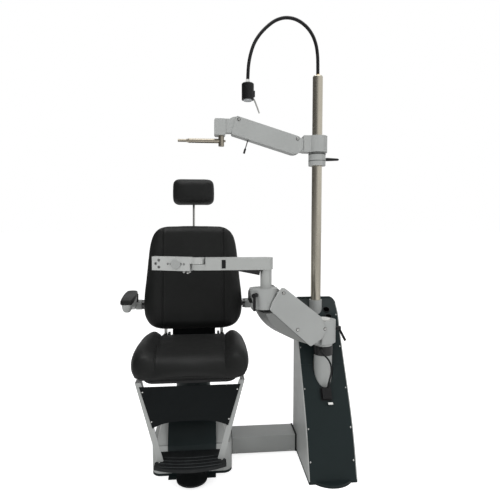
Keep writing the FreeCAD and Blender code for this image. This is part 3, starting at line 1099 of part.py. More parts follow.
def build_slit(base):
    """Column, swivel, balanced arm, head, table arm and end bracket of the slit-lamp arm."""
    column_x, column_y = s.stand_offset, -s.slit_back
    foot = s.stand_plate
    foot_z = "swivel_foot - air_gap - slit_ring_height - air_gap - slit_collar_height - stand_plate"
    neck = foot_z + " + slit_collar_height"
    shelf = neck + " + air_gap"
    column = turned([
        ("column_bore / 2", "0"), ("slit_column_diameter / 2", "0"),
        ("slit_column_diameter / 2", foot_z), ("slit_collar_diameter / 2", foot_z),
        ("slit_collar_diameter / 2", neck), ("slit_spindle_diameter / 2", neck),
        ("slit_spindle_diameter / 2", shelf), ("slit_ring_diameter / 2", shelf),
        ("slit_ring_diameter / 2", shelf + " + slit_ring_height"),
        ("thrust_diameter / 2", shelf + " + slit_ring_height"),
        ("thrust_diameter / 2", "swivel_foot - stand_plate"),
        ("slit_spindle_diameter / 2", "swivel_foot - stand_plate"),
        ("slit_spindle_diameter / 2", "swivel_foot + spindle_rise - stand_plate"),
        ("0", "swivel_foot + spindle_rise - stand_plate"), ("0", neck + " - slit_collar_height / 2"),
        ("column_bore / 2", neck + " - slit_collar_height / 2")])
    node(place(column, column_x, column_y, foot), "slit_column")

    reach, height = s.slit_pivot_reach, s.swivel_foot + s.slit_pivot_rise
    gap = s.slit_plate_gap / 2
    rear_end = -s.swivel_stretch / 2
    case = [block("swivel_stretch * 3 / 2", "2 * swivel_radius", "swivel_height", rear_end,
                  -s.swivel_radius, s.swivel_foot, base)]
    for x in (rear_end, s.swivel_stretch):
        case.append(place(rod("swivel_radius", "swivel_height"), x, 0, s.swivel_foot, frame=base))
    case.append(place(rod("cap_diameter / 2", "cap_height"), 0, 0,
                      s.swivel_foot + s.swivel_height, frame=base))
    flats = [block("swivel_radius", "swivel_radius", "2 * swivel_height", s.flat_reach, low,
                   s.swivel_foot - s.swivel_height / 2, base)
             for low in (s.flat_half, -s.flat_half - s.swivel_radius)]
    spindle = place(rod("slit_spindle_diameter / 2 + running_gap",
                        "spindle_rise + air_gap"), z=s.swivel_foot, frame=base)
    pin_hole = across("slit_pin_diameter / 2 + running_gap", "slit_plate_gap", -gap, reach,
                      height, base)
    link_hole = across("link_pin_diameter / 2 + running_gap", "slit_plate_gap", -gap, reach,
                       height - s.link_offset, base)
    hub_centre = base.multVec(FreeCAD.Vector(rear_end, 0, height - s.screw_diameter))
    stud_hole = place(rod("lock_stud_diameter / 2 + running_gap", "2 * lock_stud_diameter"),
                      s.swivel_radius - s.lock_stud_diameter - s.air_gap, 0, 0, ALONG_X,
                      FreeCAD.Placement(hub_centre, UPRIGHT))
    node(cut(fuse(*case), *flats, spindle, pin_hole, link_hole, stud_hole), "swivel_housing")
    node(lock_lever(hub_centre, 0, s.swivel_radius, s.handle_turn, s.handle_lean), "swivel_lever")

    arm = arm_frame(reach, height, s.slit_incline, base)
    far = s.slit_arm_length
    pieces = []
    for low in (gap, -gap - s.slit_plate_thick):
        outline = [("slit_arm_length * %s" % x, "slit_arm_length * %s" % z)
                   for x, z in PLATE_SHARES]
        plate = slab(outline, "slit_plate_thick", "XZ_Plane", corner="slit_plate_corner")
        pieces.append(place(plate, 0, low + s.slit_plate_thick, 0, frame=arm))
    for x in (0, far):
        pieces.append(across("slit_pin_diameter / 2", "slit_plate_gap", -gap, x, 0, arm))
    half = gap
    for shares, wall, sign in ((BELLY_SHARES, 0, 1), (HOLLOW_SHARES, s.cover_wall, -1)):
        points = [(x * far, wall - half, z * far) for x, z in shares]
        edges = [curve(points[:4])]
        for first, second in zip(points[3:], points[4:] + points[:1]):
            edges.append(segment(first, second))
        form = solid_of(edges, FreeCAD.Vector(0, 2 * (half - wall), 0))
        belly = form if sign > 0 else belly.cut(form)
    pieces.append(place(feature(belly), frame=arm))
    screws = [(x * far, gap + s.slit_plate_thick, z * far) for x, z in PLATE_SCREW_SHARES]
    pieces += screw_heads(screws, arm, FreeCAD.Rotation(X_AXIS, -90))
    node(fuse(*pieces), "slit_arm")

    link = arm_frame(reach, height - s.link_offset, s.slit_incline, base)
    bar = [block("slit_arm_length", "link_thick", "link_width", 0, s.link_set - s.link_thick / 2,
                 -s.link_width / 2, link)]
    for x in (0, far):
        bar.append(across("link_width / 2", "link_thick", s.link_set - s.link_thick / 2, x, 0, link))
        bar.append(across("link_pin_diameter / 2", "link_set / 2 + link_thick / 2",
                          s.link_set / 2, x, 0, link))
    node(fuse(*bar), "slit_link")

    end = arm.multVec(FreeCAD.Vector(far, 0, 0))
    head = FreeCAD.Placement(end, base.Rotation)
    centre = s.post_reach
    drop = -s.slit_head_drop
    barrel = loft([oval(centre, centre + s.swivel_stretch / 2, s.slit_head_radius
                        - s.slit_head_taper, drop),
                   oval(centre, centre + s.slit_head_stretch, s.slit_head_radius,
                        drop + s.slit_head_height)])
    tongue = [across("slit_tongue_radius", "slit_tongue_width", -s.slit_tongue_width / 2, 0, 0,
                     head),
              block("post_reach", "slit_tongue_width", "2 * slit_tongue_radius - air_gap", 0,
                    -s.slit_tongue_width / 2, s.air_gap - s.slit_tongue_radius, head)]
    post_hole = place(rod("table_post_diameter / 2 + running_gap", "slit_head_height"),
                      centre, 0, drop + s.table_post_diameter / 2, frame=head)
    pin_hole = across("slit_pin_diameter / 2 + running_gap", "slit_plate_gap", -gap, 0, 0, head)
    link_hole = across("link_pin_diameter / 2 + running_gap", "slit_plate_gap", -gap, 0,
                       -s.link_offset, head)
    lever_centre = head.multVec(FreeCAD.Vector(centre + s.swivel_stretch, 0, s.link_offset * 1.5))
    direction = 180 + s.slit_angle + s.head_lever_turn
    stud_hole = place(rod("lock_stud_diameter / 2 + running_gap", "2 * lock_stud_diameter"),
                      s.slit_head_radius - s.lock_stud_diameter - s.air_gap, 0, 0, ALONG_X,
                      FreeCAD.Placement(lever_centre, FreeCAD.Rotation(Z_AXIS, direction)))
    node(cut(fuse(place(feature(barrel), frame=head), *tongue), post_hole, pin_hole, link_hole,
             stud_hole), "slit_head")
    node(lock_lever(lever_centre, direction, s.slit_head_radius + s.air_gap, 0, 0), "head_lever")

    post = head.multVec(FreeCAD.Vector(centre, 0, 0))
    table = FreeCAD.Placement(FreeCAD.Vector(post.x, post.y, end.z + drop + s.table_rise), UPRIGHT)
    build_table(table, s.table_rise - s.table_post_diameter / 2)


def build_table(table, rise):
    """The level table arm on its post, the rocker switch and the swinging end bracket."""
    far = -s.table_length
    half = s.table_depth / 2
    inner = far + s.lap_inset
    post = place(rod("table_post_diameter / 2",
                     "table_rise - table_post_diameter / 2 - seat_gap"),
                 0, 0, s.seat_gap - rise, frame=table)
    arm = [block("table_length - lap_inset", "table_depth", "table_thick", inner, -half, 0, table),
           place(rod("table_end_radius", "table_thick"), frame=table)]
    channel = block("table_length - 2 * channel_end", "table_depth - 2 * table_wall",
                    "table_thick - table_wall", far + s.channel_end, s.table_wall - half,
                    -s.seat_gap, table)
    pocket = block("switch_width + rocker_play", "3 * table_wall", "switch_height + 2 * rocker_play",
                   -s.switch_place - s.rocker_play / 2, -half - s.table_wall,
                   (s.table_thick - s.switch_height) / 2 - s.rocker_play, table)
    pin_hole = place(rod("rocker_play + running_gap", "2 * switch_width"),
                     -s.switch_place - s.switch_width / 2, s.table_wall / 2 - half,
                     s.table_thick / 2, ALONG_X, table)
    lap = "table_thick / 2 - lap_gap / 2"
    tongue = [place(rod("lap_radius", lap), far, 0, 0, frame=table),
              block("lap_inset", "2 * lap_radius", lap, far, -s.lap_radius, 0, table),
              place(rod("lap_pin_diameter / 2", "table_thick - lap_gap"), far, 0, 0, frame=table)]
    wedge = slab([("-trough_start", "0"), ("-trough_start - trough_length", "0"),
                  ("-trough_start - trough_length * 2 / 3", "-trough_thick / 3"),
                  ("-trough_start - table_wall", "-trough_thick")],
                 "table_depth - table_wall", "XZ_Plane")
    place(wedge, 0, half - s.table_wall / 2, 0, frame=table)
    node(fuse(cut(fuse(*arm), channel, pocket, pin_hole), *tongue, post, wedge), "table_arm")

    rocker = block("switch_width", "switch_thick", "switch_height", -s.switch_place,
                   s.table_wall / 2 - half - s.switch_thick / 2,
                   (s.table_thick - s.switch_height) / 2, table)
    pin = place(rod("rocker_play", "switch_width * 3 / 2"),
                -s.switch_place - s.switch_width / 4, s.table_wall / 2 - half,
                s.table_thick / 2, ALONG_X, table)
    node(fuse(rocker, pin), "rocker_switch")

    pivot = table.multVec(FreeCAD.Vector(far, 0, 0))
    frame = FreeCAD.Placement(FreeCAD.Vector(pivot.x, pivot.y, 0),
                              FreeCAD.Rotation(Z_AXIS, 180 - s.bracket_angle))
    half = s.bracket_depth / 2
    foot = pivot.z - s.bracket_drop
    mid = foot + s.bracket_height / 2
    lap_foot = pivot.z + s.table_thick / 2 + s.lap_gap / 2
    body = [block("bracket_length - bracket_start", "bracket_depth", "bracket_height",
                  s.bracket_start, -half, foot, frame),
            place(rod("lap_radius", lap), 0, 0, lap_foot, frame=frame),
            block("bracket_start", "bracket_depth", lap, 0, -half, lap_foot, frame),
            across("disc_diameter / 2", "disc_thick", half, s.disc_place, mid, frame),
            place(rod("brake_diameter", "2 * brake_diameter"), 2 * s.bracket_start, 0,
                  foot - 2 * s.brake_diameter, frame=frame)]
    holes = [place(rod("lap_pin_diameter / 2 + running_gap", "table_thick - lap_gap / 2"),
                   0, 0, pivot.z, frame=frame)]
    pitch = s.bracket_bolt_pitch / 2
    for x, z in ((s.bracket_length - s.bracket_start, pitch),
                 (s.bracket_length - s.bracket_start, -pitch),
                 (s.bracket_length - s.bracket_start + pitch, 0)):
        holes.append(across("bracket_bolt_radius", "2 * bracket_depth", -s.bracket_depth, x,
                            mid + z, frame))
    for x in (s.disc_place + s.bracket_bolt_pitch, s.disc_place - s.bracket_bolt_pitch):
        for step in (-1, 1):
            holes.append(across("air_gap", "2 * bracket_depth", -s.bracket_depth,
                                x + step * s.screw_diameter, mid, frame))
    node(cut(fuse(*body), *holes), "end_bracket")


def build_cable():
    """The lamp's supply cable from the column's collar to the plug below it."""
    route = [(s.stand_offset + x, y - s.slit_back, z) for x, y, z in CABLE_ROUTE]
    node(feature(tube_route(route, s.cable_diameter)), "arm_cable")


lean_back = FreeCAD.Placement(FreeCAD.Vector(0, s.pivot_back, s.pivot_height),
                              FreeCAD.Rotation(X_AXIS, -s.back_lean))
facing = FreeCAD.Placement(FreeCAD.Vector(s.stand_offset, s.pole_back, 0),
                           FreeCAD.Rotation(Z_AXIS, 180))
facing_front = FreeCAD.Placement(FreeCAD.Vector(s.stand_offset, -s.slit_back, 0),
                                 FreeCAD.Rotation(Z_AXIS, 180 + s.slit_angle))
build_base()
build_pedal()
build_lift()
build_seat_front()
build_back(lean_back)
build_armrests(lean_back)
build_stand(build_root_screws())
build_lamp()
build_refraction(facing)
build_slit(facing_front)
build_cable()
doc.recompute()

for item in doc.Objects:
    if "Invalid" in item.State or "Error" in item.State:
        raise RuntimeError("%s did not build: %s" % (item.Label, item.State))
os.makedirs("parts", exist_ok=True)
broken = [item.Label for item in NODES if item.Shape.isNull() or not item.Shape.isValid()]
if broken:
    raise RuntimeError("not valid shapes: %s" % broken)
for item in NODES:
    item.Shape.exportStep("parts/%s.step" % item.Label)
print("%d parts written" % len(NODES))
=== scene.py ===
import json
import math
from contextlib import contextmanager

import bmesh
import bpy
from mathutils import Matrix, Vector, noise
from mathutils.bvhtree import BVHTree


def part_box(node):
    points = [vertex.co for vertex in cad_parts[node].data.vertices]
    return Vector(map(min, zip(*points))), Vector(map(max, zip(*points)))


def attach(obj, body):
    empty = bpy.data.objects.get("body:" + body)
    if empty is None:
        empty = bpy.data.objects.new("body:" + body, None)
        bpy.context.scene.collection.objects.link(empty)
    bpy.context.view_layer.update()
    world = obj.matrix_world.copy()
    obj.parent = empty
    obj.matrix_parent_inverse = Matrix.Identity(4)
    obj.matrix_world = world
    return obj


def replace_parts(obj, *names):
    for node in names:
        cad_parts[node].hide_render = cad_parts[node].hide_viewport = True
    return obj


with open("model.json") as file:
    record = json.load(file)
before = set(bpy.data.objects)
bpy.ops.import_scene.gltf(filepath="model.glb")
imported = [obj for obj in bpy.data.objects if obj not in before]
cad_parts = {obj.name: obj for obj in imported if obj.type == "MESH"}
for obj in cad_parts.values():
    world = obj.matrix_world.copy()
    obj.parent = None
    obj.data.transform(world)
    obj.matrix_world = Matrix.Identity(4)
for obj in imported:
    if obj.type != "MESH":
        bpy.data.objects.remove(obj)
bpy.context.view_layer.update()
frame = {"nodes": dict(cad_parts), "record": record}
scene = bpy.context.scene
scene.view_settings.view_transform = "Standard"
nodes = frame["nodes"]

# The camera stands where the photograph was taken.
camera = bpy.data.objects.new("camera", bpy.data.cameras.new("camera"))
scene.collection.objects.link(camera)
scene.camera = camera
camera.location = (0.087, -2.108, 1.155)
camera.rotation_euler = (math.radians(90 - 3.8), 0, math.radians(-5.3))
camera.data.lens = 30.96
camera.data.sensor_width = 36
camera.data.clip_end = 100

# Axes of the stand's pole and of the column of the slit-lamp arm.
POLE_X, POLE_Y = 0.622, 0.030
COLUMN_Y = -0.125


class Finish:
    """A procedural material built up node by node."""

    def __init__(self, name, colour, rough, metal=0.0):
        self.material = bpy.data.materials.new(name)
        self.material.use_nodes = True
        self.tree = self.material.node_tree
        self.shader = self.tree.nodes["Principled BSDF"]
        self.colour = colour
        self.rough = rough
        self.set("Metallic", metal)
        self.coords = self.add("ShaderNodeTexCoord").outputs["Object"]
        self.height = None

    def add(self, kind, **values):
        item = self.tree.nodes.new(kind)
        for key, value in values.items():
            setattr(item, key, value)
        return item

    def set(self, socket, value):
        self.shader.inputs[socket].default_value = value

    def join(self, source, target):
        self.tree.links.new(source, target)

    def stretched(self, stretch):
        """The object's own coordinates, scaled along each axis."""
        item = self.add("ShaderNodeMapping")
        self.join(self.coords, item.inputs["Vector"])
        item.inputs["Scale"].default_value = stretch
        return item.outputs["Vector"]

    def noise(self, scale, detail=3.0, rough=0.55, stretch=None, warp=0.0):
        item = self.add("ShaderNodeTexNoise")
        self.join(self.stretched(stretch) if stretch else self.coords, item.inputs["Vector"])
        item.inputs["Scale"].default_value = scale
        item.inputs["Detail"].default_value = detail
        item.inputs["Roughness"].default_value = rough
        item.inputs["Distortion"].default_value = warp
        return item.outputs["Fac"]

    def cells(self, scale, feature="F1", spread=1.0):
        item = self.add("ShaderNodeTexVoronoi", feature=feature)
        self.join(self.coords, item.inputs["Vector"])
        item.inputs["Scale"].default_value = scale
        item.inputs["Randomness"].default_value = spread
        return item.outputs["Distance"]

    def ramp(self, source, low, high, first=0.0, last=1.0):
        item = self.add("ShaderNodeMapRange")
        self.join(source, item.inputs["Value"])
        for name, value in (("From Min", low), ("From Max", high), ("To Min", first),
                            ("To Max", last)):
            item.inputs[name].default_value = value
        return item.outputs["Result"]

    def math(self, kind, first, second):
        item = self.add("ShaderNodeMath", operation=kind)
        for socket, value in zip(item.inputs, (first, second)):
            if isinstance(value, (int, float)):
                socket.default_value = value
            else:
                self.join(value, socket)
        return item.outputs[0]

    def mix(self, share, first, second):
        item = self.add("ShaderNodeMix", data_type="RGBA")
        for socket, value in zip((item.inputs[0], item.inputs[6], item.inputs[7]),
                                 (share, first, second)):
            if isinstance(value, tuple):
                socket.default_value = (*value, 1)
            elif isinstance(value, float):
                socket.default_value = value
            else:
                self.join(value, socket)
        return item.outputs[2]

    def edges(self, radius, low=0.02, high=0.25):
        """Bright where the surface turns over an edge."""
        soft = self.add("ShaderNodeBevel", samples=4)
        soft.inputs["Radius"].default_value = radius
        plain = self.add("ShaderNodeNewGeometry").outputs["Normal"]
        item = self.add("ShaderNodeVectorMath", operation="DOT_PRODUCT")
        self.join(soft.outputs["Normal"], item.inputs[0])
        self.join(plain, item.inputs[1])
        return self.ramp(self.math("SUBTRACT", 1.0, item.outputs["Value"]), low, high)

    def within(self, direction, low, high):
        """One where a point's run along a direction lies between two limits."""
        item = self.add("ShaderNodeVectorMath", operation="DOT_PRODUCT")
        self.join(self.coords, item.inputs[0])
        item.inputs[1].default_value = direction
        above = self.math("GREATER_THAN", item.outputs["Value"], low)
        return self.math("MULTIPLY", above, self.math("LESS_THAN", item.outputs["Value"], high))

    def paint_over(self, zones):
        """Gives parts of the surface, each between limits, another colour."""
        for limits, tone in zones:
            inside = self.within(*limits[0])
            for limit in limits[1:]:
                inside = self.math("MULTIPLY", inside, self.within(*limit))
            self.colour = self.mix(inside, self.colour, tone)

    def bump(self, source, depth, strength=1.0):
        item = self.add("ShaderNodeBump")
        item.inputs["Distance"].default_value = depth
        item.inputs["Strength"].default_value = strength
        self.join(source, item.inputs["Height"])
        if self.height:
            self.join(self.height, item.inputs["Normal"])
        self.height = item.outputs["Normal"]

    def done(self):
        for value, socket in ((self.colour, "Base Color"), (self.rough, "Roughness")):
            if isinstance(value, tuple):
                self.set(socket, (*value, 1))
            elif isinstance(value, (int, float)):
                self.set(socket, value)
            else:
                self.join(value, self.shader.inputs[socket])
        if self.height:
            self.join(self.height, self.shader.inputs["Normal"])
        return self.material


def coat(item, material):
    """Gives an object one material of its own."""
    item.data.materials.clear()
    item.data.materials.append(material)


def shade(colour, share):
    return tuple(min(1.0, value * share) for value in colour)


def paint(name, colour, rough, peel=0.00003, wear=1.22, shine=0.45, coat=0.10, zones=()):
    """Powder coat: orange peel, faint cloudy tone, edges a little lighter."""
    item = Finish(name, colour, rough)
    cloud = item.ramp(item.noise(5, 4), 0.3, 0.7)
    body = item.mix(cloud, shade(colour, 0.95), shade(colour, 1.04))
    item.colour = item.mix(item.edges(0.0016), body, shade(colour, wear))
    item.paint_over(zones)
    item.rough = item.ramp(item.noise(40, 3), 0.3, 0.7, rough - 0.05, rough + 0.06)
    item.bump(item.noise(700, 2), peel)
    item.bump(item.noise(90, 2), peel * 2)
    item.set("Specular IOR Level", shine)
    item.set("Coat Weight", coat)
    item.set("Coat Roughness", 0.25)
    return item.done()


def moulded(name, colour, rough, grain=1400, depth=0.00006, shine=0.2, wear=1.9, zones=()):
    """Moulded plastic with a fine spark-eroded texture."""
    item = Finish(name, colour, rough)
    cloud = item.ramp(item.noise(9, 4), 0.3, 0.7)
    body = item.mix(cloud, shade(colour, 0.9), shade(colour, 1.1))
    item.colour = item.mix(item.edges(0.001), body, shade(colour, wear))
    item.paint_over(zones)
    item.rough = item.ramp(item.noise(60, 3), 0.3, 0.7, rough - 0.06, rough + 0.06)
    item.bump(item.noise(grain, 2), depth)
    item.set("Specular IOR Level", shine)
    return item.done()


def leather(name, colour, rough, shine=0.24):
    """Leatherette: pebbled grain with valleys, soft creases and a dull sheen."""
    item = Finish(name, colour, rough)
    pebbles = item.cells(620, "SMOOTH_F1")
    fine = item.cells(1500, "F1")
    creases = item.noise(38, 6, 0.62, warp=0.8)
    worn = item.ramp(item.noise(6, 3), 0.35, 0.7)
    body = item.mix(worn, shade(colour, 0.88), shade(colour, 1.18))
    item.colour = item.mix(item.ramp(pebbles, 0.25, 0.75), body, shade(colour, 0.72))
    item.rough = item.math("ADD", item.ramp(worn, 0, 1, rough + 0.05, rough - 0.06),
                           item.ramp(pebbles, 0.2, 0.8, 0.0, 0.10))
    item.bump(item.ramp(pebbles, 0.1, 0.8, 1.0, 0.0), 0.00014)
    item.bump(item.ramp(fine, 0.0, 0.8, 1.0, 0.0), 0.00005)
    item.bump(creases, 0.0006, 0.6)
    item.set("Specular IOR Level", shine)
    item.set("Sheen Weight", 0.02)
    item.set("Sheen Roughness", 0.5)
    return item.done()


def metal(name, colour, rough, stretch=(1, 1, 1), scratch=0.0000015, zones=()):
    """Bright metal with fine drawn lines and faint smudges."""
    item = Finish(name, colour, rough, 1.0)
    lines = item.noise(260, 4, 0.6, stretch=stretch)
    smudge = item.ramp(item.noise(14, 4), 0.35, 0.75)
    item.colour = item.mix(smudge, colour, shade(colour, 0.93))
    item.paint_over(zones)
    item.rough = item.math("ADD", item.ramp(lines, 0.3, 0.7, rough * 0.9, rough * 1.15),
                           item.ramp(smudge, 0, 1, 0.0, 0.03))
    if scratch:
        item.bump(lines, scratch)
    return item.done()


def rubbery(name, colour, rough, grain=900, shine=0.25):
    item = Finish(name, colour, rough)
    dust = item.ramp(item.noise(24, 5, 0.65), 0.4, 0.75)
    item.colour = item.mix(dust, colour, shade(colour, 1.5))
    item.rough = item.ramp(item.noise(70, 3), 0.3, 0.7, rough - 0.08, rough + 0.08)
    item.bump(item.noise(grain, 3), 0.00008)
    item.set("Specular IOR Level", shine)
    return item.done()


def glassy(name):
    item = Finish(name, (0.86, 0.90, 0.92), 0.04)
    item.set("Transmission Weight", 0.85)
    item.set("IOR", 1.49)
    item.bump(item.noise(300, 2), 0.00002)
    return item.done()


BLACK = (0.004, 0.004, 0.0045)
LIGHT = (0.322, 0.332, 0.325)
# Among these: the screw heads' own colour, painted shade round the screw heads, a painted highlight
# on the arms' plate edges, and painted shade on the slit-lamp arm's underside.
SCREW, RECESS_SHADE, RIM_HIGHLIGHT = (0.50, 0.50, 0.48), (0.03, 0.03, 0.03), (0.52, 0.53, 0.52)
BELLY_SHADE, TUBE_END, SILVER = (0.16, 0.165, 0.16), (0.06, 0.06, 0.06), (0.42, 0.43, 0.41)
UP, RIGHT, DEEP = (0, 0, 1), (1, 0, 0), (0, 1, 0)

# Where parts of a node change colour, as limits of height, of X or of depth.
COLLAR = (0.5235, 0.5665)
LEVER_ROOT = 0.6655
CAP_FOOT = 0.6885
WEDGE_TOP, WEDGE_END = 0.9444, 0.3045
HANDLE_TOP, HANDLE_ROOT = 1.7550, 0.3030
TUBE_REACH = 0.2525
FAR = 1.0
# Across the slit-lamp arm, square to its plates, and where its middle plane lies on that.
ARM_SIDE = (0.34202, -0.93969, 0)
ARM_PLANE = 0.33020
# From that plane: the belly's side, the plate's edge and face, the screw heads' foot and top.
ARM_LAYERS = (0.0522, 0.0523, 0.0559, 0.0562, 0.0572)
# The same for the refraction arm, as depths of its edge, face and screw heads.
EDGE_DEPTH, SCREW_DEPTH = (-0.0019, 0.0009), (-0.0035, -0.0022)

FINISHES = {
    "light_paint": paint("light_paint", LIGHT, 0.42),
    "white_paint": paint("white_paint", (0.41, 0.42, 0.41), 0.40),
    "dark_paint": paint("dark_paint", (0.0105, 0.0165, 0.0170), 0.40, wear=1.8, shine=0.15,
                        coat=0.03),
    "black_panel": moulded("black_panel", (0.0026, 0.0040, 0.0044), 0.50, shine=0.14),
    "black_plastic": moulded("black_plastic", (0.0045, 0.0045, 0.005), 0.42, shine=0.3),
    "upholstery": leather("upholstery", (0.0075, 0.0080, 0.0077), 0.44),
    "rubber": rubbery("rubber", (0.008, 0.009, 0.0095), 0.60),
    # The steel's own grey is tinted warm, as a painted reflection of warm surroundings.
    "steel": metal("steel", (0.60, 0.56, 0.47), 0.26, (0.3, 0.3, 0.01), 0.0),
    "chrome": metal("chrome", (0.62, 0.62, 0.60), 0.13),
    "glass": glassy("glass"),
}
for part in frame["record"]["subparts"]:
    coat(nodes[part["node"]], FINISHES[part["material_slot"]])


def layer(first, last):
    """Limits across the slit-lamp arm, counted from its middle plane."""
    return (ARM_SIDE, ARM_PLANE + first, ARM_PLANE + last)


def refinish():
    """Nodes with parts in another colour, or with a tone of their own; some of these colours are
    painted shade, painted highlights and painted reflections.
    """
    belly, edge, face, foot, top = ARM_LAYERS
    for node, material in (
            ("slit_column", paint("column_paint", LIGHT, 0.42,
                                  zones=[([(UP, *COLLAR)], BLACK)])),
            ("refraction_brake_ring", paint("brake_paint", LIGHT, 0.42,
                                            zones=[([(RIGHT, LEVER_ROOT, FAR)], BLACK)])),
            ("swivel_housing", paint("swivel_paint", LIGHT, 0.42,
                                     zones=[([(UP, CAP_FOOT, FAR)], (0.62, 0.62, 0.60))])),
            ("table_arm", paint("table_paint", (0.35, 0.36, 0.35), 0.40, zones=[
                ([(UP, 0.8, WEDGE_TOP), (RIGHT, 0.0, WEDGE_END)], BLACK)])),
            ("lamp_head", moulded("lamp_shell", (0.0045, 0.0048, 0.005), 0.42, shine=0.3, zones=[
                ([(UP, 0.0, HANDLE_TOP), (RIGHT, HANDLE_ROOT, FAR)], SILVER)])),
            ("back_frame", metal("frame_tube", (0.62, 0.62, 0.60), 0.13, zones=[
                ([(RIGHT, TUBE_REACH, FAR)], TUBE_END), ([(RIGHT, -FAR, -TUBE_REACH)], TUBE_END)])),
            # The slit-lamp arm: its belly painted darker as shade, its plate edge painted lighter
            # as a highlight, painted shade round the screw heads, and the heads in their own
            # colour.
            ("slit_arm", paint("slit_arm_shade_and_highlight", LIGHT, 0.42, zones=[
                ([layer(-belly, belly)], BELLY_SHADE), ([layer(edge, face)], RIM_HIGHLIGHT),
                ([layer(foot, top)], RECESS_SHADE), ([(ARM_SIDE, ARM_PLANE + top, FAR)], SCREW)])),
            # The refraction arm: its edge painted lighter as a highlight, painted shade round its
            # screw heads, and the heads in their own colour.
            ("refraction_arm", paint("upper_arm_highlight_and_shade", LIGHT, 0.42, zones=[
                ([(DEEP, *EDGE_DEPTH)], RIM_HIGHLIGHT), ([(DEEP, *SCREW_DEPTH)], RECESS_SHADE),
                ([(DEEP, -FAR, SCREW_DEPTH[0])], SCREW)])),
            # The rod's darker, warmer steel and the post's darker steel are painted reflections of
            # darker surroundings.
            ("refraction_rod", metal("rod_steel", (0.42, 0.38, 0.31), 0.26, scratch=0.0)),
            ("headrest_post", metal("post_steel", (0.50, 0.50, 0.48), 0.26, scratch=0.0))):
        coat(nodes[node], material)


refinish()


def smooth(mesh, angle=40):
    """Shades a mesh smoothly, with edges sharper than the angle left crisp."""
    mesh.shade_smooth()
    mesh.set_sharp_from_angle(angle=math.radians(angle))


def piece(name, mesh, body, slot, angle=40):
    """A piece of the object on its CAD body, in one of the record's finishes."""
    item = bpy.data.objects.new(name, mesh)
    scene.collection.objects.link(item)
    coat(item, FINISHES[slot])
    smooth(mesh, angle)
    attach(item, body)
    return item


def mesh_of(name, verts, faces):
    mesh = bpy.data.meshes.new(name)
    mesh.from_pydata([tuple(v) for v in verts], [], faces)
    mesh.update()
    return mesh


def joined(meshes, name):
    """Several meshes as one."""
    work = bmesh.new()
    for mesh in meshes:
        work.from_mesh(mesh)
        bpy.data.meshes.remove(mesh)
    mesh = bpy.data.meshes.new(name)
    work.to_mesh(mesh)
    work.free()
    return mesh


@contextmanager
def edited(mesh):
    """Opens a mesh for editing and writes it back."""
    work = bmesh.new()
    work.from_mesh(mesh)
    yield work
    work.to_mesh(mesh)
    work.free()


def soften(work, rounds):
    """Evens the skin of an opened mesh out."""
    for _ in range(rounds):
        bmesh.ops.smooth_vert(work, verts=work.verts, factor=0.5, use_axis_x=True,
                              use_axis_y=True, use_axis_z=True)


def finer(work, cuts):
    """Splits every face of an opened mesh into a grid."""
    bmesh.ops.subdivide_edges(work, edges=work.edges[:], cuts=cuts, use_grid_fill=True)


def outward(mesh):
    """Turns the faces of a closed mesh to look outward."""
    with edited(mesh) as work:
        bmesh.ops.recalc_face_normals(work, faces=work.faces)
    return mesh


def skin(rows, count, closed=False):
    """Faces along loops of points, with a cap on each end unless the run is closed."""
    faces = []
    for row in range(rows if closed else rows - 1):
        after = (row + 1) % rows
        for k in range(count):
            m = (k + 1) % count
            faces.append((row * count + k, row * count + m, after * count + m,
                          after * count + k))
    if not closed:
        faces.append(tuple(reversed(range(count))))
        faces.append(tuple((rows - 1) * count + k for k in range(count)))
    return faces


def turned(profile, place=Matrix(), count=40, name="turned"):
    """A profile of radius and height turned about Z."""
    verts = []
    for radius, height in profile:
        for k in range(count):
            angle = math.tau * k / count
            verts.append(place @ Vector((radius * math.cos(angle), radius * math.sin(angle),
                                         height)))
    return mesh_of(name, verts, skin(len(profile), count))


def frames_along(path):
    """Directions and steady side vectors along a line of points."""
    rows = []
    side = None
    for k, point in enumerate(path):
        ahead = path[min(k + 1, len(path) - 1)] - path[max(k - 1, 0)]
        ahead.normalize()
        if side is None:
            side = ahead.orthogonal().normalized()
        side = (side - ahead * side.dot(ahead)).normalized()
        rows.append((point, ahead, side, ahead.cross(side)))
    return rows


def tube(path, radius, name="tube", count=12, closed=False, radii=None):
    """A round tube along points, its radius steady or given at each point."""
    rows = frames_along([Vector(p) for p in path])
    verts = []
    for k, (point, _, side, up) in enumerate(rows):
        size = radii[k] if radii else radius
        for n in range(count):
            angle = math.tau * n / count
            verts.append(point + (side * math.cos(angle) + up * math.sin(angle)) * size)
    return mesh_of(name, verts, skin(len(rows), count, closed))


def slab(size, radius, place=Matrix(), steps=3, name="slab"):
    """A block with rounded edges."""
    work = bmesh.new()
    bmesh.ops.create_cube(work, size=1)
    bmesh.ops.scale(work, vec=size, verts=work.verts)
    bmesh.ops.bevel(work, geom=work.edges[:], offset=radius, segments=steps, profile=0.5,
                    affect="EDGES")
    bmesh.ops.transform(work, matrix=place, verts=work.verts)
    mesh = bpy.data.meshes.new(name)
    work.to_mesh(mesh)
    work.free()
    return mesh


def eased(shares, along, column):
    """A share read between its rows, along a smooth curve."""
    for k in range(len(shares) - 1):
        if along <= shares[k + 1][0] or k == len(shares) - 2:
            break
    rows = [shares[min(max(k + step, 0), len(shares) - 1)] for step in (-1, 0, 1, 2)]
    span = rows[2][0] - rows[1][0]
    part = min(max((along - rows[1][0]) / span, 0), 1)
    slopes = []
    for first, middle, last in ((rows[0], rows[1], rows[2]), (rows[1], rows[2], rows[3])):
        run = last[0] - first[0]
        slopes.append((last[column] - first[column]) / run * span if run else 0)
    square, cube = part * part, part ** 3
    return (rows[1][column] * (2 * cube - 3 * square + 1) + slopes[0] * (cube - 2 * square + part)
            + rows[2][column] * (3 * square - 2 * cube) + slopes[1] * (cube - square))


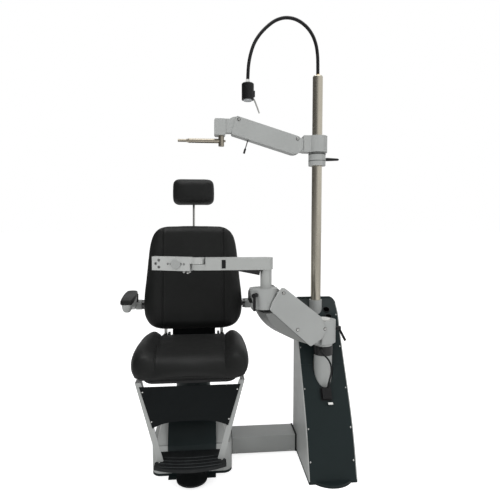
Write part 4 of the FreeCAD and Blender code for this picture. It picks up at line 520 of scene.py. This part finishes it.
def nurbs(name, points, fineness):
    """A smooth line that starts and ends at its first and last points."""
    data = bpy.data.curves.new(name, "CURVE")
    data.dimensions = "3D"
    data.resolution_u = fineness
    line = data.splines.new("NURBS")
    line.points.add(len(points) - 1)
    for spot, point in zip(line.points, points):
        spot.co = (*point, 1)
    line.order_u = 3
    line.use_endpoint_u = True
    return data


def sampled(data):
    """Points along a curve."""
    ghost = bpy.data.objects.new("ghost", data)
    mesh = bpy.data.meshes.new_from_object(ghost)
    path = [vertex.co.copy() for vertex in mesh.vertices]
    bpy.data.objects.remove(ghost)
    bpy.data.meshes.remove(mesh)
    return path


# The cord from the slit column's collar to its plug, in millimetres from the column's axis.
CORD = (
    (-22, -39.8, 557), (-29, -55.5, 557), (-27.5, -72, 552), (-18.5, -85, 544), (-6.5, -91.5, 533),
    (3.5, -94.5, 519.5), (10.5, -95, 503.5), (14.8, -93.5, 486.5), (16.5, -90.5, 469),
    (16, -86, 452), (14.5, -80, 436), (12.8, -73, 421), (11.8, -67.5, 407.5), (11.5, -65, 396),
    (11.5, -65, 388))
CORD_THICK = 0.008


def build_cord():
    """The lamp table's supply cord, with ribbed sleeves at both ends."""
    data = nurbs("cord", [(POLE_X + x / 1000, COLUMN_Y + y / 1000, z / 1000)
                          for x, y, z in CORD], 12)
    data.bevel_depth = CORD_THICK / 2
    data.bevel_resolution = 6
    item = bpy.data.objects.new("arm_cord", data)
    scene.collection.objects.link(item)
    data.materials.append(FINISHES["rubber"])
    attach(item, "stand_and_base")
    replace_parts(item, "arm_cable")

    plain = data.copy()
    plain.bevel_depth = 0
    path = sampled(plain)

    sleeves = []
    for end, reach, thick in ((path, 0.020, 0.0068), (path[::-1], 0.022, 0.0066)):
        run, radii, gone = [], [], 0
        for a, b in zip(end, end[1:]):
            if gone > reach:
                break
            run.append(a)
            groove = 0.0007 if len(run) % 2 else 0
            radii.append(thick - (thick - 0.0043) * gone / reach - groove)
            gone += (b - a).length
        sleeves.append(tube(run, 0, "sleeve", 20, radii=radii))
    relief = piece("cord_reliefs", joined(sleeves, "cord_reliefs"), "stand_and_base", "rubber")


build_cord()


# How many frames a cushion is filled for, and how often its skin is evened out before and
# after it is made finer.
FILL_FRAMES = 16
EVENED = (9, 2)


def puffed(item, pressure, cap, voxel=0.005):
    """Fills a closed form out under pressure, each point moving no further than a cap."""
    fuse = item.modifiers.new("Grid", "REMESH")
    fuse.mode = "VOXEL"
    fuse.voxel_size = voxel
    scene.view_layers[0].update()
    shown = item.evaluated_get(bpy.context.evaluated_depsgraph_get())
    mesh = bpy.data.meshes.new_from_object(shown)
    item.modifiers.clear()
    item.data = mesh
    cloth = item.modifiers.new("Puff", "CLOTH")
    cloth.settings.quality = 4
    cloth.settings.use_pressure = True
    cloth.settings.uniform_pressure_force = pressure
    cloth.settings.effector_weights.gravity = 0
    cloth.point_cache.frame_start = 1
    cloth.point_cache.frame_end = FILL_FRAMES
    for step in range(1, FILL_FRAMES):
        scene.frame_set(step)
    shown = item.evaluated_get(bpy.context.evaluated_depsgraph_get())
    moved = [vertex.co.copy() for vertex in shown.data.vertices]
    item.modifiers.clear()
    for vertex, target in zip(mesh.vertices, moved):
        step = target - vertex.co
        if step.length > cap:
            step *= cap / step.length
        vertex.co += step
    scene.frame_set(1)
    with edited(mesh) as work:
        soften(work, EVENED[0])
        finer(work, 1)
        soften(work, EVENED[1])
    return mesh


def section(half, rise, bolster, seam, tuck, count=14):
    """One slice of a cushion from its left foot over the face to its right foot."""
    crest = rise + bolster
    waist = crest * 0.40
    peak = seam + (half - seam) * 0.46 if seam else half * 0.5
    right = []
    if seam:
        for k in range(count):
            t = k / count
            right.append((seam * t, rise + 0.003 * (1 - t * t)))
        for k in range(count):
            t = k / count
            right.append((seam + (peak - seam) * t, rise + bolster * math.sin(math.pi / 2 * t)))
    else:
        for k in range(count):
            t = k / count
            right.append((peak * t, crest - 0.004 * t * t))
    high = crest if seam else crest - 0.004
    for k in range(count * 2):
        angle = math.pi / 2 * (1 - k / (count * 2))
        right.append((peak + (half - peak) * math.cos(angle) ** 0.86,
                      waist + (high - waist) * math.sin(angle) ** 0.86))
    for k in range(count + 1):
        angle = math.pi / 2 * k / count
        right.append((half - tuck * (1 - math.cos(angle)), waist * (1 - math.sin(angle))))
    return [(-x, z) for x, z in reversed(right[1:])] + right


def form(shares, length, half, rise, bolster, seams, tuck, bow, shrink, rows=72, cap=0.026):
    """A cushion's closed skin before it is filled, its ends rounded over."""
    verts = []
    for k in range(rows + 1):
        along = 0.5 - 0.5 * math.cos(math.pi * (0.03 + 0.94 * k / rows))
        near = min(along, 1 - along) * length
        fall = math.sqrt(1 - (1 - near / cap) ** 2) if near < cap else 1
        wide = half * eased(shares, along, 1) - shrink
        thick = eased(shares, along, 2) * (0.40 + 0.60 * fall)
        seam = seams[0] + (seams[1] - seams[0]) * along if seams else 0
        slope = section(wide, rise * thick - shrink, bolster * thick, min(seam, wide * 0.86),
                        tuck)
        end = max(0, (along - 0.5) * 2) ** 3
        verts += [(x, along * length + bow * end * (x / half) ** 2, z + shrink / 2)
                  for x, z in slope]
    return outward(mesh_of("form", verts, skin(rows + 1, len(slope))))


def stitches(tree, route, spacing=0.0042, long=0.0028, thick=0.00042):
    """Short threads laid along a seam, each on the cushion's surface."""
    rows = []
    gone = 0
    for a, b in zip(route, route[1:]):
        run = (b - a).length
        while gone <= run:
            rows.append((a + (b - a) * (gone / run), (b - a).normalized()))
            gone += spacing
        gone -= run
    meshes = []
    for point, ahead in rows:
        spot, normal = tree.find_nearest(point)[:2]
        if spot is None:
            continue
        side = normal.cross(ahead).normalized()
        ahead = side.cross(normal).normalized()
        line = []
        for step, lift in ((-0.5, -0.4), (-0.3, 0.6), (0, 1.0), (0.3, 0.6), (0.5, -0.4)):
            line.append(spot + ahead * long * step + normal * thick * lift)
        meshes.append(tube(line, thick, "stitch", 6))
    return joined(meshes, "stitches")


def lengthwise_seam(mesh, line, depth, wide):
    """Presses a seam into the face of a cushion, with the leather gathered beside it."""
    normals = [vertex.normal.copy() for vertex in mesh.vertices]
    for vertex, normal in zip(mesh.vertices, normals):
        if normal.z < 0.35:
            continue
        for side in (-1, 1):
            off = vertex.co.x - side * line(vertex.co.y)
            if abs(off) > wide * 5:
                continue
            press = math.exp(-(off / wide) ** 2)
            roll = math.exp(-((abs(off) - wide * 2.2) / (wide * 1.5)) ** 2)
            ripple = noise.noise(Vector((side * 7.0, vertex.co.y * 85, 0.3)))
            vertex.co.z += roll * (0.0011 + 0.0007 * ripple) - press * depth


def edge_line(shares, length, half, count=90):
    """Points round a cushion's plan, at its outline."""
    left = []
    for k in range(count + 1):
        along = k / count
        left.append((-half * eased(shares, along, 1), along * length))
    return left + [(-x, y) for x, y in reversed(left)]


def build_cushion(name, node, body, shares, sizes, seams, place, pressure, cap, welt_height):
    """A stuffed cushion with a piped edge and, where it has seams, two rows of stitching."""
    length, half, rise, bolster, dip, tuck, bow = sizes
    item = bpy.data.objects.new(name, form(shares, length, half, rise, bolster, seams, tuck,
                                           bow, 0.0025))
    scene.collection.objects.link(item)
    mesh = puffed(item, pressure, cap)

    def line(y):
        return seams[0] + (seams[1] - seams[0]) * min(max(y / length, 0), 1)

    if seams:
        lengthwise_seam(mesh, line, dip, 0.0030)
    low = min(vertex.co.z for vertex in mesh.vertices)
    mesh.update()
    normals = [vertex.normal.copy() for vertex in mesh.vertices]
    for vertex, normal in zip(mesh.vertices, normals):
        vertex.co.z -= low
        creases = noise.noise(vertex.co * 17) * 0.0007 + noise.noise(vertex.co * 46) * 0.0002
        if normal.z > -0.5:
            vertex.co += normal * creases
        if vertex.co.z < 0.0004:
            vertex.co.z = 0
    mesh.update()
    tree = BVHTree.FromPolygons([v.co for v in mesh.vertices],
                                [p.vertices for p in mesh.polygons])
    extras = []
    if seams:
        for side in (-1, 1):
            for shift in (-0.0052, 0.0052):
                run = [Vector((side * line(k / 60 * length) + shift, k / 60 * length,
                               rise + 0.06)) for k in range(2, 59)]
                drop = []
                for point in run:
                    spot = tree.ray_cast(point, Vector((0, 0, -1)))[0]
                    if spot:
                        drop.append(spot)
                extras.append(stitches(tree, drop))
    around = []
    for x, y in edge_line(shares, length, half):
        middle = Vector((x * 0.4, length / 2 + (y - length / 2) * 0.6, welt_height))
        away = Vector((x, y, welt_height)) - middle
        spot = tree.ray_cast(middle, away.normalized())[0]
        if spot:
            around.append(spot)
    kept = [around[0]]
    for point in around[1:]:
        if (point - kept[-1]).length > 0.004:
            kept.append(point)
    piping = tube(kept, 0.0024, "piping", 10, closed=True)
    for extra in extras + [piping]:
        extra.transform(place)
    mesh.transform(place)
    coat(item, FINISHES["upholstery"])
    mesh.shade_smooth()
    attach(item, body)
    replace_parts(item, node)
    piece(name + "_piping", piping, body, "upholstery", 60)
    if extras:
        piece(name + "_stitching", joined(extras, name + "_stitching"), body, "upholstery", 60)


# Rows of a cushion: how far along, the share of its half width and of its thickness there.
SEAT_SHARES = ((0.0, 0.80, 0.90), (0.02, 0.87, 0.90), (0.06, 0.925, 0.91), (0.13, 0.965, 0.92),
               (0.25, 0.99, 0.95), (0.62, 1.0, 1.0), (0.82, 0.99, 0.97), (0.92, 0.96, 0.88),
               (0.97, 0.92, 0.78), (1.0, 0.82, 0.68))
BACK_SHARES = ((0.0, 0.60, 0.9), (0.012, 0.72, 0.9), (0.03, 0.82, 0.92), (0.054, 0.885, 0.95),
               (0.10, 0.95, 0.97), (0.151, 0.985, 1.0), (0.27, 1.0, 1.0), (0.483, 0.955, 1.0),
               (0.70, 0.915, 0.99), (0.82, 0.885, 0.96), (0.89, 0.850, 0.94), (0.935, 0.80, 0.92),
               (0.965, 0.735, 0.91), (0.985, 0.66, 0.90), (1.0, 0.56, 0.90))
HEAD_SHARES = ((0.0, 0.70, 0.90), (0.02, 0.80, 0.92), (0.06, 0.89, 0.94), (0.12, 0.955, 0.97),
               (0.20, 0.99, 1.0), (0.35, 1.0, 1.0), (0.65, 1.0, 1.0), (0.80, 0.99, 1.0),
               (0.88, 0.955, 0.97), (0.94, 0.89, 0.94), (0.98, 0.80, 0.92), (1.0, 0.70, 0.90))
# Along the backrest from its pivot, and a cushion's own frame stood upright.
LEAN = Matrix.Translation((0, 0.105, 0.560)) @ Matrix.Rotation(math.radians(-11.1), 4, "X")
UPRIGHT = Matrix.Rotation(math.radians(90), 4, "X")

build_cushion("seat", "seat_cushion", "chair", SEAT_SHARES,
              (0.442, 0.256, 0.092, 0.026, 0.0035, 0.046, 0.0), (0.160, 0.146),
              Matrix.Translation((0, 0.080, 0.4943)) @ Matrix.Rotation(math.pi, 4, "Z"),
              2.0, 0.006, 0.020)
build_cushion("backrest", "back_cushion", "backrest", BACK_SHARES,
              (0.534, 0.253, 0.064, 0.006, 0.0032, 0.012, -0.008), (0.154, 0.154),
              LEAN @ Matrix.Translation((0, -0.0043, 0.042)) @ UPRIGHT, 2.0, 0.005, 0.016)
build_cushion("head_pad", "headrest_cushion", "headrest", HEAD_SHARES,
              (0.132, 0.1125, 0.074, 0.0, 0.0, 0.006, 0.013), None,
              LEAN @ Matrix.Translation((0, 0.0126, 0.696)) @ UPRIGHT, 2.0, 0.004, 0.016)


def build_seat_board():
    """The thin board under the seat, its front corners cut back in a wide curve."""
    plan = []
    for k in range(25):
        angle = math.pi / 2 * k / 24
        plan.append((0.150 + 0.046 * math.cos(angle), -0.285 - 0.052 * math.sin(angle)))
    plan = [(0.205, 0.069), (0.205, -0.120)] + plan
    plan += [(-x, y) for x, y in reversed(plan)]
    verts = [(x * inset, y, z) for z, inset in ((0.4822, 0.985), (0.4840, 1.0), (0.4925, 1.0),
                                                (0.4938, 0.99)) for x, y in plan]
    mesh = outward(mesh_of("pan", verts, skin(4, len(plan))))
    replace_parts(piece("seat_board", mesh, "chair", "black_plastic", 30), "seat_pan")


build_seat_board()


# The armrests: how far out their middles lie, where along them, and how they toe in. Then
# the front end of their bodies, counted from there, and the height of their upper edge.
ARMREST_X, ARMREST_Y, TOE = 0.303, -0.0025, 4.4
ARM_FRONT, ARM_EDGE = -0.1425, 0.7768


def build_arm_pads():
    """Soft moulded tops of the armrests, crowned, with a rolled lower edge."""
    for side, name in ((-1, "right"), (1, "left")):
        mesh = slab((0.062, 0.287, 0.024), 0.008, steps=4)
        with edited(mesh) as work:
            finer(work, 3)
            for vertex in work.verts:
                x, y = vertex.co.x / 0.031, vertex.co.y / 0.1435
                corner = max(0, abs(y) - 0.80) / 0.20
                vertex.co.x *= 1 - 0.22 * corner ** 2
                if vertex.co.z > 0:
                    vertex.co.z += 0.0035 * (1 - x * x) - 0.004 * corner ** 2
                vertex.co.z += 0.0002 * noise.noise(vertex.co * 60)
            soften(work, 3)
        place = (Matrix.Translation((side * ARMREST_X, ARMREST_Y, 0.7885))
                 @ Matrix.Rotation(math.radians(-side * TOE), 4, "Z"))
        mesh.transform(place)
        item = piece("arm_top_" + name, mesh, "armrest_" + name, "upholstery", 60)
        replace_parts(item, "arm_pad_" + name)


build_arm_pads()


def build_arm_bodies():
    """Trough-shaped armrest bodies with rounded undersides, their hinge hubs and rear strips."""
    hub = LEAN @ Vector((0, 0.023, 0.169))
    for side, name in ((-1, "right"), (1, "left")):
        place = (Matrix.Translation((side * ARMREST_X, ARMREST_Y, 0))
                 @ Matrix.Rotation(math.radians(-side * TOE), 4, "Z"))
        rows = []
        for k in range(41):
            t = k / 40
            y = ARM_FRONT + t * (hub.y - ARMREST_Y - ARM_FRONT)
            nose = min(t / 0.10, 1)
            lean = max(0, (t - 0.30) / 0.70)
            top = ARM_EDGE - max(0, (t - 0.86) / 0.14) ** 1.6 * (ARM_EDGE - hub.z - 0.020)
            low = 0.7770 - 0.040 * math.sin(math.pi / 2 * nose) ** 0.7
            low += (hub.z - 0.0255 - 0.737) * (lean ** 1.5)
            rows.append((y, 0.0225 * (0.80 + 0.20 * math.sin(math.pi / 2 * nose)), top, low))
        verts = []
        count = 28
        for y, half, top, low in rows:
            for n in range(count):
                angle = math.pi * n / (count - 1)
                x, z = -math.cos(angle), math.sin(angle)
                verts.append((half * math.copysign(abs(x) ** 0.72, x), y,
                              top - (top - low) * z ** 0.80))
        trough = mesh_of("trough", verts, skin(len(rows), count))
        trough.transform(place)
        start = side * 0.268
        across = (Matrix.Translation((start, hub.y, hub.z))
                  @ Matrix.Rotation(math.radians(90 * side), 4, "Y"))
        boss = turned([(0.012, 0.0), (0.0245, 0.0), (0.026, 0.0015), (0.026, 0.0300),
                       (0.0240, 0.0320), (0.0, 0.0322)], across, 40, "boss")
        mesh = outward(joined([trough, boss], "arm_body_" + name))
        item = piece("arm_body_" + name, mesh, "armrest_" + name, "light_paint", 35)
        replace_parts(item, "arm_beam_" + name)
        strip = slab((0.058, 0.006, 0.050), 0.0025,
                     place @ Matrix.Translation((0, 0.1480, 0.756))
                     @ Matrix.Rotation(math.radians(-12), 4, "X"))
        piece("arm_strip_" + name, strip, "armrest_" + name, "black_plastic", 40)


build_arm_bodies()


# The lamp's flexible arm, from the top of the pole: offsets across and up, in metres.
GOOSE = (
    (0, 0), (0, 0.050), (-0.002, 0.103), (-0.011, 0.156), (-0.033, 0.205), (-0.068, 0.243),
    (-0.113, 0.268), (-0.163, 0.274), (-0.211, 0.259), (-0.251, 0.229), (-0.287, 0.192),
    (-0.316, 0.148), (-0.334, 0.096), (-0.344, 0.044), (-0.347, -0.006), (-0.3475, -0.030))
POLE_TOP = 1.873
LENS_FOOT = 1.744


def build_gooseneck():
    """The ribbed flexible lamp arm with its brass entry ring and white end ring."""
    path = sampled(nurbs("goose_line", [(POLE_X + x, POLE_Y, POLE_TOP + z) for x, z in GOOSE], 16))
    even = [path[0]]
    gone, pitch = 0.0, 0.0009
    for a, b in zip(path, path[1:]):
        run = (b - a).length
        while gone + pitch <= run:
            gone += pitch
            even.append(a + (b - a) * (gone / run))
        gone -= run
    radii = [0.0083 - (0.0004 if k % 3 == 0 else 0) for k in range(len(even))]
    hose = tube(even, 0, "gooseneck", 18, radii=radii)
    item = piece("gooseneck", hose, "lamp_neck", "black_plastic", 60)
    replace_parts(item, "lamp_arm")
    base = Matrix.Translation((POLE_X, POLE_Y, POLE_TOP))
    entry = turned([(0.0125, -0.0010), (0.0125, 0.0016), (0.0112, 0.0028), (0.0092, 0.0034),
                    (0.0092, 0.0062), (0.0078, 0.0066)], base, 32, "entry_ring")
    coat(piece("entry_ring", entry, "lamp_neck", "chrome", 30),
         metal("brass", (0.74, 0.55, 0.26), 0.18))
    end = Matrix.Translation((POLE_X + GOOSE[-1][0], POLE_Y, POLE_TOP + GOOSE[-1][1]))
    collar = turned([(0.0074, 0.0012), (0.0094, 0.0010), (0.0100, -0.0006), (0.0100, -0.0112),
                     (0.0094, -0.0124), (0.0052, -0.0124)], end, 32, "end_ring")
    coat(piece("end_ring", collar, "lamp_neck", "white_paint", 30),
         moulded("white_ring", (0.72, 0.72, 0.70), 0.35, shine=0.4, wear=1.1))


build_gooseneck()


def build_lamp_lens():
    """The lamp's stepped glass, frosted pale, seen from below."""
    place = Matrix.Translation((POLE_X + GOOSE[-1][0], POLE_Y, LENS_FOOT))
    rings = [(0.0218, 0.0040), (0.0222, 0.0006), (0.0215, -0.0006)]
    for k in range(8):
        radius = 0.0205 - 0.0024 * k
        rings += [(radius, -0.0006 - 0.0009 * (1 - k / 8)), (radius - 0.0004, -0.0004)]
    glass = piece("lamp_glass", turned(rings, place, 48, "lamp_glass"), "lamp", "glass", 30)
    frosted = Finish("frosted_glass", (0.50, 0.52, 0.53), 0.22)
    frosted.colour = frosted.mix(frosted.ramp(frosted.cells(240), 0.1, 0.6),
                                 (0.62, 0.64, 0.65), (0.36, 0.38, 0.39))
    frosted.bump(frosted.cells(240), 0.0003)
    frosted.set("Transmission Weight", 0.10)
    coat(glass, frosted.done())
    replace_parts(glass, "lamp_lens")


build_lamp_lens()

# Where the end bracket hangs on the table arm, and its direction.
BRACKET = (Matrix.Translation((0.036184, -0.230484, 0.969))
           @ Matrix.Rotation(math.radians(160), 4, "Z"))
FACE_ON = Matrix.Rotation(math.radians(-90), 4, "X")


def build_bracket_trim():
    """Dark plugs in the bracket's holes as painted shade, the rim and cross of its round cover, and
    its lock.
    """
    parts = []
    # Dark plugs in the holes stand for the shade inside them.
    for x, z, radius in ((0.181, 0.0155, 0.0062), (0.181, -0.0155, 0.0062),
                         (0.1965, 0.0, 0.0062), (0.124, 0.0, 0.0046), (0.138, 0.0, 0.0046),
                         (0.062, 0.0, 0.0046), (0.076, 0.0, 0.0046)):
        spot = BRACKET @ Matrix.Translation((x, 0.0170, z)) @ FACE_ON
        parts.append(turned([(radius * 0.3, -0.0020), (radius * 0.75, 0.0003), (radius, 0.0007),
                             (radius, -0.0010)], spot, 24, "hole_shade"))
    piece("bracket_hole_shades", joined(parts, "bracket_hole_shades"), "bracket", "black_plastic", 30)
    face = BRACKET @ Matrix.Translation((0.100, 0.0220, 0)) @ FACE_ON
    parts = [turned([(0.0185, -0.0008), (0.0215, -0.0008), (0.0220, 0.0006), (0.0210, 0.0012),
                     (0.0190, 0.0012)], face, 40, "rim"),
             turned([(0.0002, -0.0004), (0.0080, -0.0004), (0.0082, 0.0012), (0.0070, 0.0018),
                     (0.0002, 0.0018)], face, 32, "boss")]
    for angle in (20, 110):
        parts.append(slab((0.030, 0.0022, 0.0012), 0.0004,
                          face @ Matrix.Translation((0, 0, 0.0006))
                          @ Matrix.Rotation(math.radians(angle), 4, "Z")))
    piece("bracket_cover_rim", joined(parts, "bracket_cover_rim"), "bracket", "light_paint", 30)
    knob = BRACKET @ Matrix.Translation((0.045, 0.004, -0.0368)) @ FACE_ON
    piece("bracket_lock", turned([(0.0030, -0.014), (0.0050, -0.013), (0.0055, 0.010),
                                  (0.0046, 0.0125), (0.0020, 0.0130)], knob, 24, "lock"),
          "bracket", "chrome", 30)


build_bracket_trim()


LEVER_HEIGHT = 1.465


def build_brake_grip():
    """The tapered plastic grip on the lever of the refraction arm's brake ring."""
    across = (Matrix.Translation((0, POLE_Y, LEVER_HEIGHT))
              @ Matrix.Rotation(math.radians(90), 4, "Y"))
    grip = turned([(0.0040, 0.6680), (0.0080, 0.6685), (0.0086, 0.6720), (0.0072, 0.7000),
                   (0.0056, 0.7285), (0.0040, 0.7325), (0.0010, 0.7330)], across, 28, "grip")
    piece("brake_grip", grip, "brake_ring", "black_plastic", 40)


build_brake_grip()


def build_arm_screws():
    """Round socket-head screws on the faces of the two arms, with dark rings round the heads and
    dark sockets, painted shade in the recesses.
    """
    flat = Matrix.Rotation(math.radians(90), 4, "X")
    turn = Matrix.Rotation(math.radians(20), 4, "Z")
    for name, body, way, spots in (
            ("upper", "upper_arm", flat, ((0.2282, -0.0039, 1.6463), (0.5167, -0.0039, 1.5586))),
            ("lower", "lower_arm", turn @ flat,
             ((0.6145, -0.1895, 0.6591), (0.4756, -0.2400, 0.6711), (0.4069, -0.2650, 0.8422)))):
        dark, bright = [], []
        for spot in spots:
            place = Matrix.Translation(spot) @ way
            # Dark rings and sockets: painted shade in the recesses round and in the heads.
            dark.append(turned([(0.0050, -0.0022), (0.0082, -0.0020), (0.0080, -0.0010),
                                (0.0050, -0.0010)], place, 32, "recess"))
            dark.append(turned([(0.0001, 0.0006), (0.0026, 0.0006), (0.0026, 0.0016),
                                (0.0001, 0.0014)], place, 6, "socket"))
            bright.append(turned([(0.0060, -0.0020), (0.0062, 0.0004), (0.0054, 0.0013),
                                  (0.0034, 0.0015), (0.0001, 0.0015)], place, 32, "head"))
        piece(name + "_screw_recess_shade", joined(dark, "recesses"), body, "black_plastic", 30)
        piece(name + "_screw_heads", joined(bright, "heads"), body, "chrome", 30)


build_arm_screws()


def build_joint_gap_shade():
    """Dark rings painted as shade in the gaps above and below the brake ring of the refraction arm.
    """
    parts = []
    for low, high, radius in ((1.4864, 1.4898, 0.0432), (1.4543, 1.4566, 0.0430)):
        place = Matrix.Translation((POLE_X, POLE_Y, 0))
        parts.append(turned([(0.0410, low), (radius, low), (radius, high), (0.0410, high)],
                            place, 56, "ring"))
    piece("joint_gap_shade", joined(parts, "joint_gap_shade"), "stand_and_base", "black_plastic", 30)


build_joint_gap_shade()


def build_lamp_grip():
    """The bent silver handle under the lamp."""
    bend = ((0.3050, 1.7530, 0.0030), (0.3085, 1.7460, 0.0032), (0.3120, 1.7380, 0.0033),
            (0.3170, 1.7240, 0.0034), (0.3240, 1.7050, 0.0038), (0.3312, 1.6850, 0.0030))
    grip = tube([(x, POLE_Y, z) for x, z, _ in bend], 0, "lamp_grip", 14,
                radii=[radius for _, _, radius in bend])
    piece("lamp_grip", grip, "lamp", "chrome", 60)


build_lamp_grip()


def build_foot_ribs():
    """Raised rubber ribs that follow the curved front of the footrest."""
    parts = []
    for row in range(4):
        reach = 0.128 - 0.004 * row
        route = []
        for k in range(25):
            x = reach * (k / 12 - 1)
            route.append((x, -0.398 + 0.024 * row + 0.020 * (x / 0.149) ** 2, 0.1522))
        parts.append(tube(route, 0.0017, "rib", 8))
    # The ribs' rubber is painted lighter than the footrest's, as a highlight along them.
    coat(piece("foot_ribs", joined(parts, "foot_ribs"), "chair", "rubber", 60),
         rubbery("rib_rubber_highlight", (0.030, 0.033, 0.034), 0.5))


build_foot_ribs()


def build_plug_label():
    """The blank white label on the stand below the cable's plug."""
    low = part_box("cable_plug")[0]
    spot = Matrix.Translation((0.6350, low[1] - 0.0035, low[2] - 0.004)) @ Matrix.Rotation(
        math.radians(56), 4, "X")
    coat(piece("plug_label", slab((0.022, 0.010, 0.0008), 0.0003, spot), "stand_and_base",
               "white_paint", 30), moulded("label_card", (0.70, 0.70, 0.68), 0.5, wear=1.05))


build_plug_label()


def lamp(name, spot, target, size, power, mirrored=True):
    data = bpy.data.lights.new(name, "AREA")
    data.shape = "RECTANGLE"
    data.size, data.size_y = size
    data.energy = power
    item = bpy.data.objects.new(name, data)
    scene.collection.objects.link(item)
    item.location = spot
    item.visible_glossy = mirrored
    ahead = Vector(target) - Vector(spot)
    item.rotation_euler = ahead.to_track_quat("-Z", "Y").to_euler()


def build_studio():
    """A white room with soft boxes left and right and above, its left side darker."""
    lamp("key", (-2.2, -3.0, 2.6), (0.3, 0, 0.9), (1.6, 2.2), 62, False)
    lamp("fill", (2.9, -2.6, 1.7), (0.4, 0, 0.9), (1.4, 2.2), 34, False)
    lamp("top", (0.3, -0.4, 4.0), (0.3, -0.2, 0), (3.0, 3.0), 60)
    world = bpy.data.worlds.new("studio")
    scene.world = world
    world.use_nodes = True
    tree = world.node_tree

    def add(kind, **values):
        item = tree.nodes.new(kind)
        for key, value in values.items():
            setattr(item, key, value)
        return item

    path = add("ShaderNodeLightPath")
    parts = add("ShaderNodeSeparateXYZ")
    tree.links.new(add("ShaderNodeTexCoord").outputs["Generated"], parts.inputs[0])
    walls = add("ShaderNodeMapRange", interpolation_type="SMOOTHSTEP")
    tree.links.new(parts.outputs["X"], walls.inputs["Value"])
    for name, value in (("From Min", -0.75), ("From Max", 0.45), ("To Min", 0.10),
                        ("To Max", 0.80)):
        walls.inputs[name].default_value = value
    plain = add("ShaderNodeMix")
    tree.links.new(path.outputs["Is Glossy Ray"], plain.inputs["Factor"])
    plain.inputs["A"].default_value = 0.50
    tree.links.new(walls.outputs["Result"], plain.inputs["B"])
    seen = add("ShaderNodeMath", operation="MAXIMUM")
    tree.links.new(path.outputs["Is Camera Ray"], seen.inputs[0])
    tree.links.new(path.outputs["Is Transmission Ray"], seen.inputs[1])
    strength = add("ShaderNodeMix")
    tree.links.new(seen.outputs[0], strength.inputs["Factor"])
    tree.links.new(plain.outputs["Result"], strength.inputs["A"])
    strength.inputs["B"].default_value = 1.0
    back = tree.nodes["Background"]
    tree.links.new(strength.outputs["Result"], back.inputs["Strength"])
    back.inputs["Color"].default_value = (1, 1, 1, 1)

    mesh = mesh_of("floor", [(-40, -40, 0), (40, -40, 0), (40, 40, 0), (-40, 40, 0)],
                   [(0, 1, 2, 3)])
    floor = bpy.data.objects.new("floor", mesh)
    scene.collection.objects.link(floor)
    white = bpy.data.materials.new("floor_white")
    white.use_nodes = True
    tree = white.node_tree
    shader = tree.nodes["Principled BSDF"]
    shader.inputs["Base Color"].default_value = (0.85, 0.85, 0.85, 1)
    shader.inputs["Roughness"].default_value = 0.9
    shader.inputs["Specular IOR Level"].default_value = 0.1
    path = tree.nodes.new("ShaderNodeLightPath")
    glow = tree.nodes.new("ShaderNodeMapRange")
    tree.links.new(path.outputs["Is Camera Ray"], glow.inputs["Value"])
    glow.inputs["To Max"].default_value = 0.66
    shader.inputs["Emission Color"].default_value = (1, 1, 1, 1)
    tree.links.new(glow.outputs["Result"], shader.inputs["Emission Strength"])
    mesh.materials.append(white)


build_studio()
